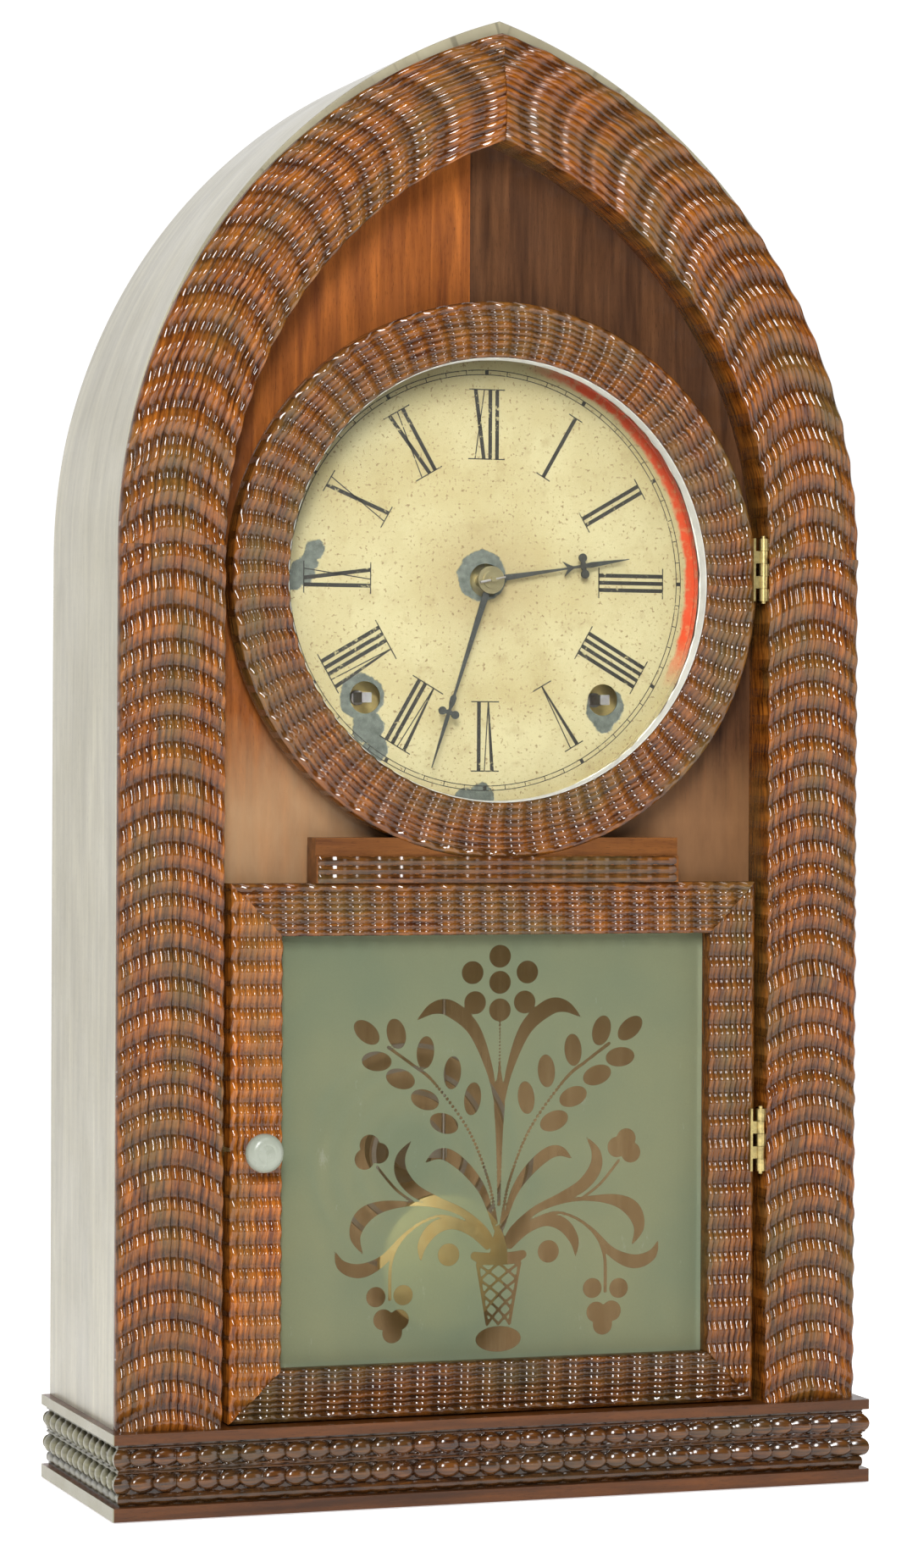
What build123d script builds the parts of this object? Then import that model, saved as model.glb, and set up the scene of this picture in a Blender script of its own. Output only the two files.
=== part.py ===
from build123d import *
from math import atan2, cos, degrees, pi, radians, sin, sqrt
import os

# Mantel clock in a pointed-arch rippled case. Millimetres. +Z is up, the dial faces -Y and +X is
# to the right of someone reading the dial. The origin lies on the surface the clock stands on,
# under the middle of the base.

# Base
base_width = 263.0
base_depth = 95.0
bottom_slab = 4.3
base_height = 27.7
slab_corner = 0.6
top_slab = 3.3
frieze_thick = 9.0
frieze_setback = 2.9
big_bead_heights = (10.55, 18.8)
big_bead_radius = 2.9
small_bead_heights = (5.95, 14.7, 22.8)
small_bead_radius = 1.45

# Case shell: a straight side that runs into one arc up to the pointed top
half_width = 128.8
spring_z = 310.8
shell_apex_z = 485.5
shell_thick = 6.0
shell_front_y = -37.0
back_y = base_depth / 2
back_board_thick = 6.0
board_gap = 0.15

# Front mouldings, glued to the shell's front edge
moulding_width = 34.0
moulding_apex_z = 481.2
moulding_outer_y = -40.3
moulding_inner_y = -44.0
moulding_crown = 1.5
moulding_back_y = -27.0

# Veneered panel behind the door, in two halves
panel_thick = 3.0
panel_joint_x = -6.5
dial_opening_radius = 76.0
window_half_width = 80.0
window_bottom_z = 36.0
window_top_z = 192.0

# Dial
dial_centre_z = 302.0
dial_front_y = -25.6
dial_sheet = 0.6
dial_radius = 75.6
dial_rim = 1.1
winding_x = 41.9
winding_z = 262.8
winding_hole_radius = 5.3
centre_hole_radius = 5.6
dial_tab_length = 6.0
dial_tab_width = 10.0

# Door: round bezel, neck and rectangular frame, one piece once glued
door_half_width = 91.5
door_back_y = -31.5
door_outer_y = -40.4
door_inner_y = -42.3
ring_z = 301.5
ring_inner_radius = 73.0
strip_width = 17.0
frame_bottom_z = 28.2
frame_top_z = 202.2
neck_half_width = 63.2
neck_top_z = 217.0
neck_strip_top_z = 211.0
neck_strip_thick = 1.2
glass_thick = 1.6
bezel_glass_y = -35.6
tablet_glass_y = -33.8
rebate = 2.2
glass_play = 0.2

# Butt hinges on the right edge of the door
hinge_x = 93.15
hinge_y = -42.2
knuckle_radius = 1.5
hinge_pin_radius = 0.75
knuckles = 5
hinge_length = 21.0
hinge_bottoms = (105.2, 296.2)
leaf_thick = 0.8
case_leaf_x = 94.8
moulding_leaf_back_y = -34.0
door_leaf_x = 89.4
door_leaf_back_y = -33.5
knuckle_gap = 0.15
bridge_thick = 0.9

# Knob and turning latch on the left stile
knob_x = -82.3
knob_z = 116.0
knob_radius = 6.3
spindle_radius = 1.6
latch_reach = 16.0
latch_width = 4.0
latch_thick = 1.2
latch_y = -30.6
latch_slot_depth = 8.0
latch_slot_width = 2.4
rose_radius = 4.2
rose_back_y = -42.9
rose_thick = 0.9

# Movement
front_plate_y = -14.5
back_plate_y = 8.0
plate_thick = 1.5
plate_half_width = 76.0
plate_bottom_z = 232.0
plate_shoulder_z = 312.0
plate_top_z = 362.0
plate_neck_half = 40.0
arbor_radius = 0.9
running_fit = 0.05
wheel_thick = 1.2
winding_arbor_radius = 2.4
rail_inner_x = 62.0
rail_outer_x = 74.0
pivot_z = 352.0
pendulum_y = 13.5
bob_z = 72.0
bob_radius = 23.0
bob_thick = 8.0
gong_y = 27.0
gong_z = 108.0
hammer_x = -53.0
hammer_z = 302.0
hammer_length = 190.0

# Wheel trains: pitch module and teeth of each wheel with the pinion that it drives
great_module, great_teeth, great_pinion = 0.84, 72, 12
second_module, second_teeth, second_pinion = 0.75, 48, 12
centre_module, centre_teeth, centre_pinion = 0.5, 72, 8
third_module, third_teeth, third_pinion = 0.45, 70, 7
cannon_module, minute_teeth, cannon_teeth = 0.6, 36, 12
hour_module, hour_teeth, minute_pinion = 0.576, 40, 10
escape_teeth = 38
escape_radius = 12.5

# Layers of the wheels between the plates, each the back face of a wheel
great_y = -6.0
second_y = -11.2
centre_y = -1.0
third_y = 5.0
escape_y = -8.0
cannon_y = -17.2
hour_y = -19.8

os.makedirs("parts", exist_ok=True)


def facing(y, x=0.0, z=0.0):
    """A plane seen from the front of the clock: sketch x is X, sketch y is Z, extrusion goes to -Y."""
    return Plane(origin=(x, y, z), x_dir=(1, 0, 0), z_dir=(0, -1, 0))


def keep(piece, name):
    """Name a finished piece and write its file."""
    piece.part.label = name
    export_step(piece.part, f"parts/{name}.step")


def arc_offset(width, apex):
    """How far beyond the middle the centre lies of an arc from a vertical side up to the apex."""
    rise = apex - spring_z
    return (rise * rise - width * width) / (2 * width)


shell_offset = arc_offset(half_width, shell_apex_z)
shell_radius = half_width + shell_offset
moulding_offset = arc_offset(half_width, moulding_apex_z)
moulding_radius = half_width + moulding_offset


def arch_point(side, radius, offset, angle):
    """A point of an arch's arc, at an angle above the spring line on one side."""
    return (side * (radius * cos(angle) - offset), spring_z + radius * sin(angle))


def half_arch(side, outer, inner, offset, bottom):
    """Face of one half of an arched band: two straight edges that run into two arcs."""
    top_out = pi / 2 - atan2(offset, sqrt(outer * outer - offset * offset))
    top_in = pi / 2 - atan2(offset, sqrt(inner * inner - offset * offset))
    out_foot = (side * (outer - offset), bottom)
    in_foot = (side * (inner - offset), bottom)
    with BuildSketch() as shape:
        with BuildLine():
            Line(in_foot, out_foot)
            Line(out_foot, arch_point(side, outer, offset, 0))
            ThreePointArc(
                arch_point(side, outer, offset, 0),
                arch_point(side, outer, offset, top_out / 2),
                arch_point(side, outer, offset, top_out),
            )
            Line(arch_point(side, outer, offset, top_out), arch_point(side, inner, offset, top_in))
            ThreePointArc(
                arch_point(side, inner, offset, top_in),
                arch_point(side, inner, offset, top_in / 2),
                arch_point(side, inner, offset, 0),
            )
            Line(arch_point(side, inner, offset, 0), in_foot)
        make_face()
    return shape.sketch


def solid_arch(radius, offset, bottom):
    """Face of a whole pointed arch down to a level foot."""
    reach = radius - offset
    peak = pi / 2 - atan2(offset, sqrt(radius * radius - offset * offset))
    with BuildSketch() as shape:
        with BuildLine():
            Line((-reach, bottom), (reach, bottom))
            Line((reach, bottom), (reach, spring_z))
            ThreePointArc(
                (reach, spring_z),
                arch_point(1, radius, offset, peak / 2),
                arch_point(1, radius, offset, peak),
            )
            ThreePointArc(
                arch_point(-1, radius, offset, peak),
                arch_point(-1, radius, offset, peak / 2),
                (-reach, spring_z),
            )
            Line((-reach, spring_z), (-reach, bottom))
        make_face()
    return shape.sketch


# ---------------------------------------------------------------- base
with BuildPart() as base_bottom_slab:
    Box(base_width, base_depth, bottom_slab, align=(Align.CENTER, Align.CENTER, Align.MIN))
    fillet(base_bottom_slab.edges().filter_by(Axis.Z), slab_corner)
keep(base_bottom_slab, "base_bottom_slab")

with BuildPart() as base_top_slab:
    with Locations((0, 0, base_height - top_slab)):
        Box(base_width, base_depth, top_slab, align=(Align.CENTER, Align.CENTER, Align.MIN))
    fillet(base_top_slab.edges().filter_by(Axis.Z), slab_corner)
keep(base_top_slab, "base_top_slab")

frieze_height = base_height - top_slab - bottom_slab


def frieze_profile():
    """Section of the base's rippled band: sketch x points out of the clock, sketch y up."""
    with Locations((-frieze_setback - frieze_thick / 2, bottom_slab + frieze_height / 2)):
        Rectangle(frieze_thick, frieze_height)
    with Locations(*[(-big_bead_radius, z) for z in big_bead_heights]):
        Circle(big_bead_radius)
    with Locations(*[(-frieze_setback, z) for z in small_bead_heights]):
        Circle(small_bead_radius)


wedge_side = 60.0
cutter_side = 600.0


def mitre_wedge(x, y, turn):
    """A tall wedge that cuts a frieze's end at 45 degrees, opening towards the given direction."""
    with Locations(Location((x, y, 0), (0, 0, turn))):
        Box(
            wedge_side,
            wedge_side,
            wedge_side,
            align=(Align.MIN, Align.CENTER, Align.MIN),
            mode=Mode.SUBTRACT,
        )


with BuildPart() as base_front_frieze:
    profile_plane = Plane(origin=(base_width / 2, -base_depth / 2, 0), x_dir=(0, -1, 0), z_dir=(-1, 0, 0))
    with BuildSketch(profile_plane):
        frieze_profile()
    extrude(amount=base_width)
    mitre_wedge(base_width / 2, -base_depth / 2, 45)
    mitre_wedge(-base_width / 2, -base_depth / 2, 135)
keep(base_front_frieze, "base_front_frieze")

for side, name in ((-1, "base_left_frieze"), (1, "base_right_frieze")):
    with BuildPart() as base_side_frieze:
        side_plane = Plane(
            origin=(side * base_width / 2, base_depth / 2, 0), x_dir=(side, 0, 0), z_dir=(0, -side, 0)
        )
        with BuildSketch(side_plane):
            frieze_profile()
        extrude(amount=side * base_depth)
        mitre_wedge(side * base_width / 2, -base_depth / 2, -90 - side * 45)
    keep(base_side_frieze, name)

back_rail_thick = 9.0
with BuildPart() as base_back_rail:
    with Locations((0, back_y, bottom_slab)):
        Box(
            base_width - 2 * (frieze_setback + frieze_thick),
            back_rail_thick,
            frieze_height,
            align=(Align.CENTER, Align.MAX, Align.MIN),
        )
keep(base_back_rail, "base_back_rail")

# ---------------------------------------------------------------- case shell
for side, name in ((-1, "left_case_side"), (1, "right_case_side")):
    with BuildPart() as case_side:
        with BuildSketch(facing(back_y)):
            add(half_arch(side, shell_radius, shell_radius - shell_thick, shell_offset, base_height))
        extrude(amount=back_y - shell_front_y)
    keep(case_side, name)

with BuildPart() as back_board:
    with BuildSketch(facing(back_y)):
        add(solid_arch(shell_radius - shell_thick - board_gap, shell_offset, base_height))
    extrude(amount=back_board_thick)
keep(back_board, "back_board")

# ---------------------------------------------------------------- front mouldings
rebate_width = shell_thick + board_gap


def moulding_section(side):
    """Section of a front moulding, laid out from its outer edge (sketch x = 0) to its inner edge."""
    inward = -side
    crown_y = (moulding_outer_y + moulding_inner_y) / 2 - moulding_crown
    with BuildSketch() as shape:
        with BuildLine():
            Line((0, shell_front_y), (0, moulding_outer_y))
            ThreePointArc(
                (0, moulding_outer_y),
                (inward * moulding_width / 2, crown_y),
                (inward * moulding_width, moulding_inner_y),
            )
            Line((inward * moulding_width, moulding_inner_y), (inward * moulding_width, moulding_back_y))
            Line((inward * moulding_width, moulding_back_y), (inward * rebate_width, moulding_back_y))
            Line((inward * rebate_width, moulding_back_y), (inward * rebate_width, shell_front_y))
            Line((inward * rebate_width, shell_front_y), (0, shell_front_y))
        make_face()
    return shape.sketch


recess_reach = 30.0


def case_leaf_recess():
    """Let the hinges' case leaves into the right moulding's inner wall."""
    for bottom in hinge_bottoms:
        with Locations((case_leaf_x + leaf_thick, moulding_leaf_back_y, bottom)):
            Box(
                2 * leaf_thick,
                recess_reach,
                hinge_length,
                align=(Align.MAX, Align.MAX, Align.MIN),
                mode=Mode.SUBTRACT,
            )


def door_leaf_recess():
    """Let the hinges' door leaves into the door's right edge."""
    for bottom in hinge_bottoms:
        with Locations((door_leaf_x, door_leaf_back_y, bottom)):
            Box(
                recess_reach,
                recess_reach,
                hinge_length,
                align=(Align.MIN, Align.MAX, Align.MIN),
                mode=Mode.SUBTRACT,
            )


for side, name in ((-1, "lower_left_moulding"), (1, "lower_right_moulding")):
    with BuildPart() as lower_moulding:
        with BuildSketch(Plane(origin=(side * half_width, 0, base_height), x_dir=(1, 0, 0))):
            add(moulding_section(side))
        extrude(amount=spring_z - base_height)
        if side < 0:
            # slot that the latch turns into, behind the lip of the moulding
            with Locations((-half_width + moulding_width, latch_y, knob_z)):
                Box(
                    latch_slot_depth,
                    latch_slot_width,
                    2 * latch_reach + latch_slot_width,
                    align=(Align.MAX, Align.CENTER, Align.CENTER),
                    mode=Mode.SUBTRACT,
                )
        else:
            case_leaf_recess()
    keep(lower_moulding, name)

for side, name in ((-1, "upper_left_moulding"), (1, "upper_right_moulding")):
    with BuildPart() as upper_moulding:
        with BuildSketch(Plane(origin=(side * half_width, 0, spring_z), x_dir=(1, 0, 0))):
            add(moulding_section(side))
        arc_axis = Axis((-side * moulding_offset, 0, spring_z), (0, -side, 0))
        revolve(axis=arc_axis, revolution_arc=90)
        with Locations((0, 0, spring_z)):
            Box(
                cutter_side,
                cutter_side,
                cutter_side,
                align=(Align.MAX if side > 0 else Align.MIN, Align.CENTER, Align.MIN),
                mode=Mode.SUBTRACT,
            )
        if side > 0:
            case_leaf_recess()
    keep(upper_moulding, name)

# ---------------------------------------------------------------- veneered panel
for side, name in ((-1, "left_panel"), (1, "right_panel")):
    with BuildPart() as panel_half:
        with BuildSketch(facing(moulding_back_y + panel_thick)):
            add(solid_arch(shell_radius - shell_thick - board_gap, shell_offset, base_height))
            with Locations((0, dial_centre_z)):
                Circle(dial_opening_radius, mode=Mode.SUBTRACT)
            with Locations((0, (window_bottom_z + window_top_z) / 2)):
                Rectangle(
                    2 * window_half_width, window_top_z - window_bottom_z, mode=Mode.SUBTRACT
                )
            with Locations((panel_joint_x, 0)):
                Rectangle(
                    cutter_side,
                    2 * cutter_side,
                    align=(Align.MIN if side < 0 else Align.MAX, Align.CENTER),
                    mode=Mode.SUBTRACT,
                )
        extrude(amount=panel_thick)
    keep(panel_half, name)

# ---------------------------------------------------------------- dial
dial_rim_height = 1.2
rim_front_y = dial_front_y - dial_rim_height
tab_back_y = moulding_back_y + panel_thick + dial_sheet
with BuildPart() as dial:
    with BuildSketch(facing(dial_front_y + dial_sheet, 0, dial_centre_z)):
        Circle(dial_radius)
        Circle(centre_hole_radius, mode=Mode.SUBTRACT)
        with Locations(*[(s * winding_x, winding_z - dial_centre_z) for s in (-1, 1)]):
            Circle(winding_hole_radius, mode=Mode.SUBTRACT)
    extrude(amount=dial_sheet)
    with BuildSketch(facing(tab_back_y, 0, dial_centre_z)):
        Circle(dial_radius)
        Circle(dial_radius - dial_rim, mode=Mode.SUBTRACT)
    extrude(amount=tab_back_y - rim_front_y)
    with BuildSketch(facing(tab_back_y, 0, dial_centre_z)):
        with PolarLocations(dial_radius + dial_tab_length / 2 - dial_rim / 2, 4, start_angle=45):
            Rectangle(dial_tab_length + dial_rim, dial_tab_width)
    extrude(amount=dial_sheet)
keep(dial, "dial")

# ---------------------------------------------------------------- door
strip_crown = 0.5


def strip_section(inner_at, outer_at):
    """Section of a door strip: sketch x runs across the strip, sketch y along Y."""
    middle = (inner_at + outer_at) / 2
    lip = inner_at + rebate * (1 if outer_at > inner_at else -1)
    with BuildSketch() as shape:
        with BuildLine():
            Line((outer_at, door_back_y), (outer_at, door_outer_y))
            ThreePointArc(
                (outer_at, door_outer_y),
                (middle, (door_outer_y + door_inner_y) / 2 - strip_crown),
                (inner_at, door_inner_y),
            )
            Line((inner_at, door_inner_y), (inner_at, rebate_y))
            Line((inner_at, rebate_y), (lip, rebate_y))
            Line((lip, rebate_y), (lip, door_back_y))
            Line((lip, door_back_y), (outer_at, door_back_y))
        make_face()
    return shape.sketch


rebate_y = bezel_glass_y - glass_thick
with BuildPart() as door_ring:
    with BuildSketch(Plane(origin=(0, 0, ring_z), x_dir=(1, 0, 0))):
        add(strip_section(ring_inner_radius, door_half_width))
    revolve(axis=Axis((0, 0, ring_z), (0, 1, 0)))
    door_leaf_recess()
keep(door_ring, "door_ring")

with BuildPart() as door_neck:
    with BuildSketch(facing(door_back_y)):
        with Locations((0, frame_top_z)):
            Rectangle(
                2 * neck_half_width, neck_top_z - frame_top_z, align=(Align.CENTER, Align.MIN)
            )
        with Locations((0, ring_z)):
            Circle(door_half_width, mode=Mode.SUBTRACT)
    extrude(amount=door_back_y - door_outer_y)
    with BuildSketch(facing(door_outer_y)):
        with Locations((0, frame_top_z)):
            Rectangle(
                2 * neck_half_width,
                neck_strip_top_z - frame_top_z,
                align=(Align.CENTER, Align.MIN),
            )
        with Locations((0, ring_z)):
            Circle(door_half_width, mode=Mode.SUBTRACT)
    extrude(amount=neck_strip_thick)
keep(door_neck, "door_neck")

frame_mid_z = (frame_bottom_z + frame_top_z) / 2
frame_half_height = (frame_top_z - frame_bottom_z) / 2
sight_half_width = door_half_width - strip_width
sight_half_height = frame_half_height - strip_width
rebate_y = tablet_glass_y - glass_thick
mitre_overrun = 5.0
mitre_reach = strip_width + mitre_overrun


def mitred_strip(sign, half_length, half_span, upright):
    """One strip of the rectangular frame, cut at 45 degrees at both ends."""
    near = half_span - mitre_reach
    short = half_length - mitre_reach
    if upright:
        section = Plane(origin=(0, 0, frame_mid_z - half_length), x_dir=(1, 0, 0))
    else:
        section = Plane(origin=(-half_length, 0, frame_mid_z), x_dir=(0, 0, 1), z_dir=(-1, 0, 0))
    with BuildPart() as strip:
        with BuildSketch(section):
            add(strip_section(sign * (half_span - strip_width), sign * half_span))
        extrude(amount=2 * half_length if upright else -2 * half_length)
        with BuildSketch(facing(door_back_y + mitre_overrun, 0, frame_mid_z)):
            with BuildLine():
                if upright:
                    Polyline(
                        (sign * near, -short),
                        (sign * half_span, -half_length),
                        (sign * half_span, half_length),
                        (sign * near, short),
                        close=True,
                    )
                else:
                    Polyline(
                        (-short, sign * near),
                        (-half_length, sign * half_span),
                        (half_length, sign * half_span),
                        (short, sign * near),
                        close=True,
                    )
            make_face()
        extrude(amount=4 * mitre_overrun, mode=Mode.INTERSECT)
    return strip


keep(mitred_strip(1, door_half_width, frame_half_height, False), "door_top_rail")
keep(mitred_strip(-1, door_half_width, frame_half_height, False), "door_bottom_rail")

with BuildPart() as door_left_stile:
    add(mitred_strip(-1, frame_half_height, door_half_width, True).part)
    with BuildSketch(facing(0, knob_x, knob_z)):
        Circle(spindle_radius + running_fit)
    extrude(amount=100, mode=Mode.SUBTRACT)
keep(door_left_stile, "door_left_stile")

with BuildPart() as door_right_stile:
    add(mitred_strip(1, frame_half_height, door_half_width, True).part)
    door_leaf_recess()
keep(door_right_stile, "door_right_stile")

with BuildPart() as bezel_glass:
    with BuildSketch(facing(bezel_glass_y, 0, ring_z)):
        Circle(ring_inner_radius + rebate - glass_play)
    extrude(amount=glass_thick)
keep(bezel_glass, "bezel_glass")

putty_reach = 4.4
putty_depth = 3.0
with BuildPart() as bezel_putty:
    with BuildSketch(Plane(origin=(0, 0, ring_z), x_dir=(1, 0, 0))):
        edge = ring_inner_radius + rebate
        with BuildLine():
            Polyline(
                (edge, bezel_glass_y),
                (edge, bezel_glass_y + putty_depth),
                (edge - putty_reach, bezel_glass_y),
                close=True,
            )
        make_face()
    revolve(axis=Axis((0, 0, ring_z), (0, 1, 0)))
keep(bezel_putty, "bezel_putty")

tablet_half_width = sight_half_width + rebate - glass_play
tablet_half_height = sight_half_height + rebate - glass_play
with BuildPart() as tablet_glass:
    with BuildSketch(facing(tablet_glass_y, 0, frame_mid_z)):
        Rectangle(2 * tablet_half_width, 2 * tablet_half_height)
    extrude(amount=glass_thick)
keep(tablet_glass, "tablet_glass")

bead_inset = 0.8
bead_depth = 2.0
with BuildPart() as tablet_bead:
    with BuildSketch(facing(tablet_glass_y + bead_depth, 0, frame_mid_z)):
        Rectangle(2 * (sight_half_width + rebate), 2 * (sight_half_height + rebate))
        Rectangle(
            2 * (sight_half_width - bead_inset),
            2 * (sight_half_height - bead_inset),
            mode=Mode.SUBTRACT,
        )
    extrude(amount=bead_depth)
keep(tablet_bead, "tablet_bead")

# ---------------------------------------------------------------- hinges
knuckle_pitch = hinge_length / knuckles


def hinge_knuckles(bottom, first, bore, leaf_side):
    """Every second knuckle of one hinge, starting from the given one, with its bridge to the leaf."""
    height = knuckle_pitch - knuckle_gap
    for number in range(first, knuckles, 2):
        foot = bottom + number * knuckle_pitch + knuckle_gap / 2
        with Locations(((hinge_x + leaf_side) / 2, hinge_y, foot)):
            Box(
                abs(leaf_side - hinge_x),
                bridge_thick,
                height,
                align=(Align.CENTER, Align.CENTER, Align.MIN),
            )
        with Locations((hinge_x, hinge_y, foot)):
            Cylinder(knuckle_radius, height, align=(Align.CENTER, Align.CENTER, Align.MIN))
        if bore:
            with Locations((hinge_x, hinge_y, foot)):
                Cylinder(
                    bore, height, align=(Align.CENTER, Align.CENTER, Align.MIN), mode=Mode.SUBTRACT
                )


pin_overhang = 0.8
with BuildPart() as case_hinge_leaves:
    for bottom in hinge_bottoms:
        # the pin is tight in the case leaf's knuckles
        with Locations((hinge_x, hinge_y, bottom - pin_overhang)):
            Cylinder(
                hinge_pin_radius,
                hinge_length + 2 * pin_overhang,
                align=(Align.CENTER, Align.CENTER, Align.MIN),
            )
        hinge_knuckles(bottom, 0, 0, case_leaf_x + leaf_thick)
        with Locations((case_leaf_x, moulding_leaf_back_y, bottom)):
            Box(
                leaf_thick,
                moulding_leaf_back_y - hinge_y + bridge_thick / 2,
                hinge_length,
                align=(Align.MIN, Align.MAX, Align.MIN),
            )
keep(case_hinge_leaves, "case_hinge_leaves")

with BuildPart() as door_hinge_leaves:
    for bottom in hinge_bottoms:
        hinge_knuckles(bottom, 1, hinge_pin_radius + running_fit, door_leaf_x)
        with Locations((door_leaf_x, door_leaf_back_y, bottom)):
            Box(
                leaf_thick,
                door_leaf_back_y - hinge_y + bridge_thick / 2,
                hinge_length,
                align=(Align.MIN, Align.MAX, Align.MIN),
            )
keep(door_hinge_leaves, "door_hinge_leaves")

# ---------------------------------------------------------------- knob and latch
rose_front_y = rose_back_y - rose_thick
neck_radius = 2.8
neck_length = 1.2
knob_depth = 7.6
knob_crown = 0.7
bore_floor = 2.0
with BuildPart() as door_knob:
    with BuildSketch(Plane(origin=(knob_x, 0, knob_z), x_dir=(1, 0, 0))):
        with BuildLine():
            Line((spindle_radius, rose_front_y), (neck_radius, rose_front_y))
            Line((neck_radius, rose_front_y), (neck_radius, rose_front_y - neck_length))
            ThreePointArc(
                (neck_radius, rose_front_y - neck_length),
                (knob_radius, rose_front_y - (knob_depth + neck_length) / 2),
                (neck_radius, rose_front_y - knob_depth),
            )
            Line((neck_radius, rose_front_y - knob_depth), (0, rose_front_y - knob_depth - knob_crown))
            Line((0, rose_front_y - knob_depth - knob_crown), (0, rose_front_y - knob_depth + bore_floor))
            Line(
                (0, rose_front_y - knob_depth + bore_floor),
                (spindle_radius, rose_front_y - knob_depth + bore_floor),
            )
            Line((spindle_radius, rose_front_y - knob_depth + bore_floor), (spindle_radius, rose_front_y))
        make_face()
    revolve(axis=Axis((knob_x, 0, knob_z), (0, 1, 0)))
keep(door_knob, "door_knob")

latch_front_y = latch_y - latch_thick / 2
with BuildPart() as door_latch:
    with BuildSketch(facing(latch_y + latch_thick / 2, knob_x, knob_z)):
        Circle(spindle_radius)
    extrude(amount=latch_y + latch_thick / 2 - rose_front_y + knob_depth - 2)
    with BuildSketch(facing(rose_back_y, knob_x, knob_z)):
        Circle(rose_radius)
    extrude(amount=rose_thick)
    with BuildSketch(facing(latch_y + latch_thick / 2, knob_x, knob_z)):
        SlotCenterToCenter(2, latch_width)
        with Locations((-latch_reach + latch_width / 2, 0)):
            Circle(latch_width / 2)
        with Locations((-latch_reach / 2, 0)):
            Rectangle(latch_reach - latch_width, latch_width)
    extrude(amount=latch_thick)
keep(door_latch, "door_latch")

# ---------------------------------------------------------------- where the arbors stand
def met_at(first, second, from_first, from_second):
    """The point at two given distances from two centres, on the right of the line between them."""
    span_x = second[0] - first[0]
    span_z = second[1] - first[1]
    span = sqrt(span_x * span_x + span_z * span_z)
    along = (from_first**2 - from_second**2 + span**2) / (2 * span)
    aside = sqrt(from_first**2 - along**2)
    return (
        first[0] + along * span_x / span + aside * span_z / span,
        first[1] + along * span_z / span - aside * span_x / span,
    )


def step_from(point, distance, bearing):
    """The point at a distance and bearing from another."""
    return (
        point[0] + distance * cos(radians(bearing)),
        point[1] + distance * sin(radians(bearing)),
    )


def bearing_to(first, second):
    """Bearing in degrees from one arbor to another, seen from the front."""
    return degrees(atan2(second[1] - first[1], second[0] - first[0]))


great_reach = great_module * (great_teeth + great_pinion) / 2
second_reach = second_module * (second_teeth + second_pinion) / 2
centre_reach = centre_module * (centre_teeth + centre_pinion) / 2
third_reach = third_module * (third_teeth + third_pinion) / 2
cannon_reach = cannon_module * (minute_teeth + cannon_teeth) / 2

time_great_at = (winding_x, winding_z)
strike_great_at = (-winding_x, winding_z)
centre_at = (0.0, dial_centre_z)
time_second_at = met_at(time_great_at, centre_at, great_reach, second_reach)
time_third_at = step_from(centre_at, centre_reach, 60)
escape_at = (0.0, time_third_at[1] + sqrt(third_reach**2 - time_third_at[0] ** 2))
minute_at = step_from(centre_at, cannon_reach, 225)
strike_second_at = (-time_second_at[0], time_second_at[1])
strike_third_at = step_from(strike_second_at, second_reach, 125)
fly_at = step_from(strike_third_at, centre_reach, 60)
hammer_at = (hammer_x, hammer_z)
verge_at = (0.0, pivot_z)

arbor_back = back_plate_y + plate_thick + 0.4
arbor_front = front_plate_y - plate_thick - 0.4
screws_at = [(s * 68.0, z) for s in (-1, 1) for z in (240.0, 298.0)]
pillars_at = [(s * x, z) for s in (-1, 1) for x, z in ((8.0, 237.0), (70.0, 307.0), (34.0, 356.0))]
screw_radius = 1.5


# ---------------------------------------------------------------- movement frame
def plate_face(wide_holes, narrow_holes):
    """A movement plate's face: broad below, narrower above, drilled for arbors and screws."""
    with BuildSketch() as plate:
        with Locations((0, plate_bottom_z)):
            Rectangle(
                2 * plate_half_width,
                plate_shoulder_z - plate_bottom_z,
                align=(Align.CENTER, Align.MIN),
            )
            Rectangle(
                2 * plate_neck_half,
                plate_top_z - plate_bottom_z,
                align=(Align.CENTER, Align.MIN),
            )
        with Locations(*wide_holes):
            Circle(winding_arbor_radius + running_fit, mode=Mode.SUBTRACT)
        with Locations(*narrow_holes):
            Circle(arbor_radius + running_fit, mode=Mode.SUBTRACT)
        with Locations(*screws_at):
            Circle(screw_radius + running_fit, mode=Mode.SUBTRACT)
    return plate.sketch


train_holes = [centre_at, time_second_at, time_third_at, escape_at, strike_second_at]
train_holes += [strike_third_at, fly_at, hammer_at, verge_at]
winding_holes = [time_great_at, strike_great_at]

with BuildPart() as movement_front_plate:
    with BuildSketch(facing(front_plate_y)):
        add(plate_face(winding_holes, train_holes + [minute_at]))
    extrude(amount=plate_thick)
keep(movement_front_plate, "movement_front_plate")

stud_bottom_z = 354.5
stud_side = 6.0
stud_back_y = pendulum_y + 2.5
stud_slot = (1.2, 3.2)
with BuildPart() as movement_back_plate:
    with BuildSketch(facing(back_plate_y + plate_thick)):
        add(plate_face(winding_holes, train_holes))
    extrude(amount=plate_thick)
    # stud that the pendulum's spring hangs in
    with BuildSketch(facing(stud_back_y, 0, stud_bottom_z)):
        Rectangle(stud_side, stud_side, align=(Align.CENTER, Align.MIN))
    extrude(amount=stud_back_y - back_plate_y - plate_thick)
    with Locations((0, pendulum_y, stud_bottom_z)):
        Box(*stud_slot, 3 * stud_side, mode=Mode.SUBTRACT)
keep(movement_back_plate, "movement_back_plate")

pillar_radius = 2.6
with BuildPart() as movement_pillars:
    with BuildSketch(facing(back_plate_y)):
        with Locations(*pillars_at):
            Circle(pillar_radius)
    extrude(amount=back_plate_y - front_plate_y)
keep(movement_pillars, "movement_pillars")

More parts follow.
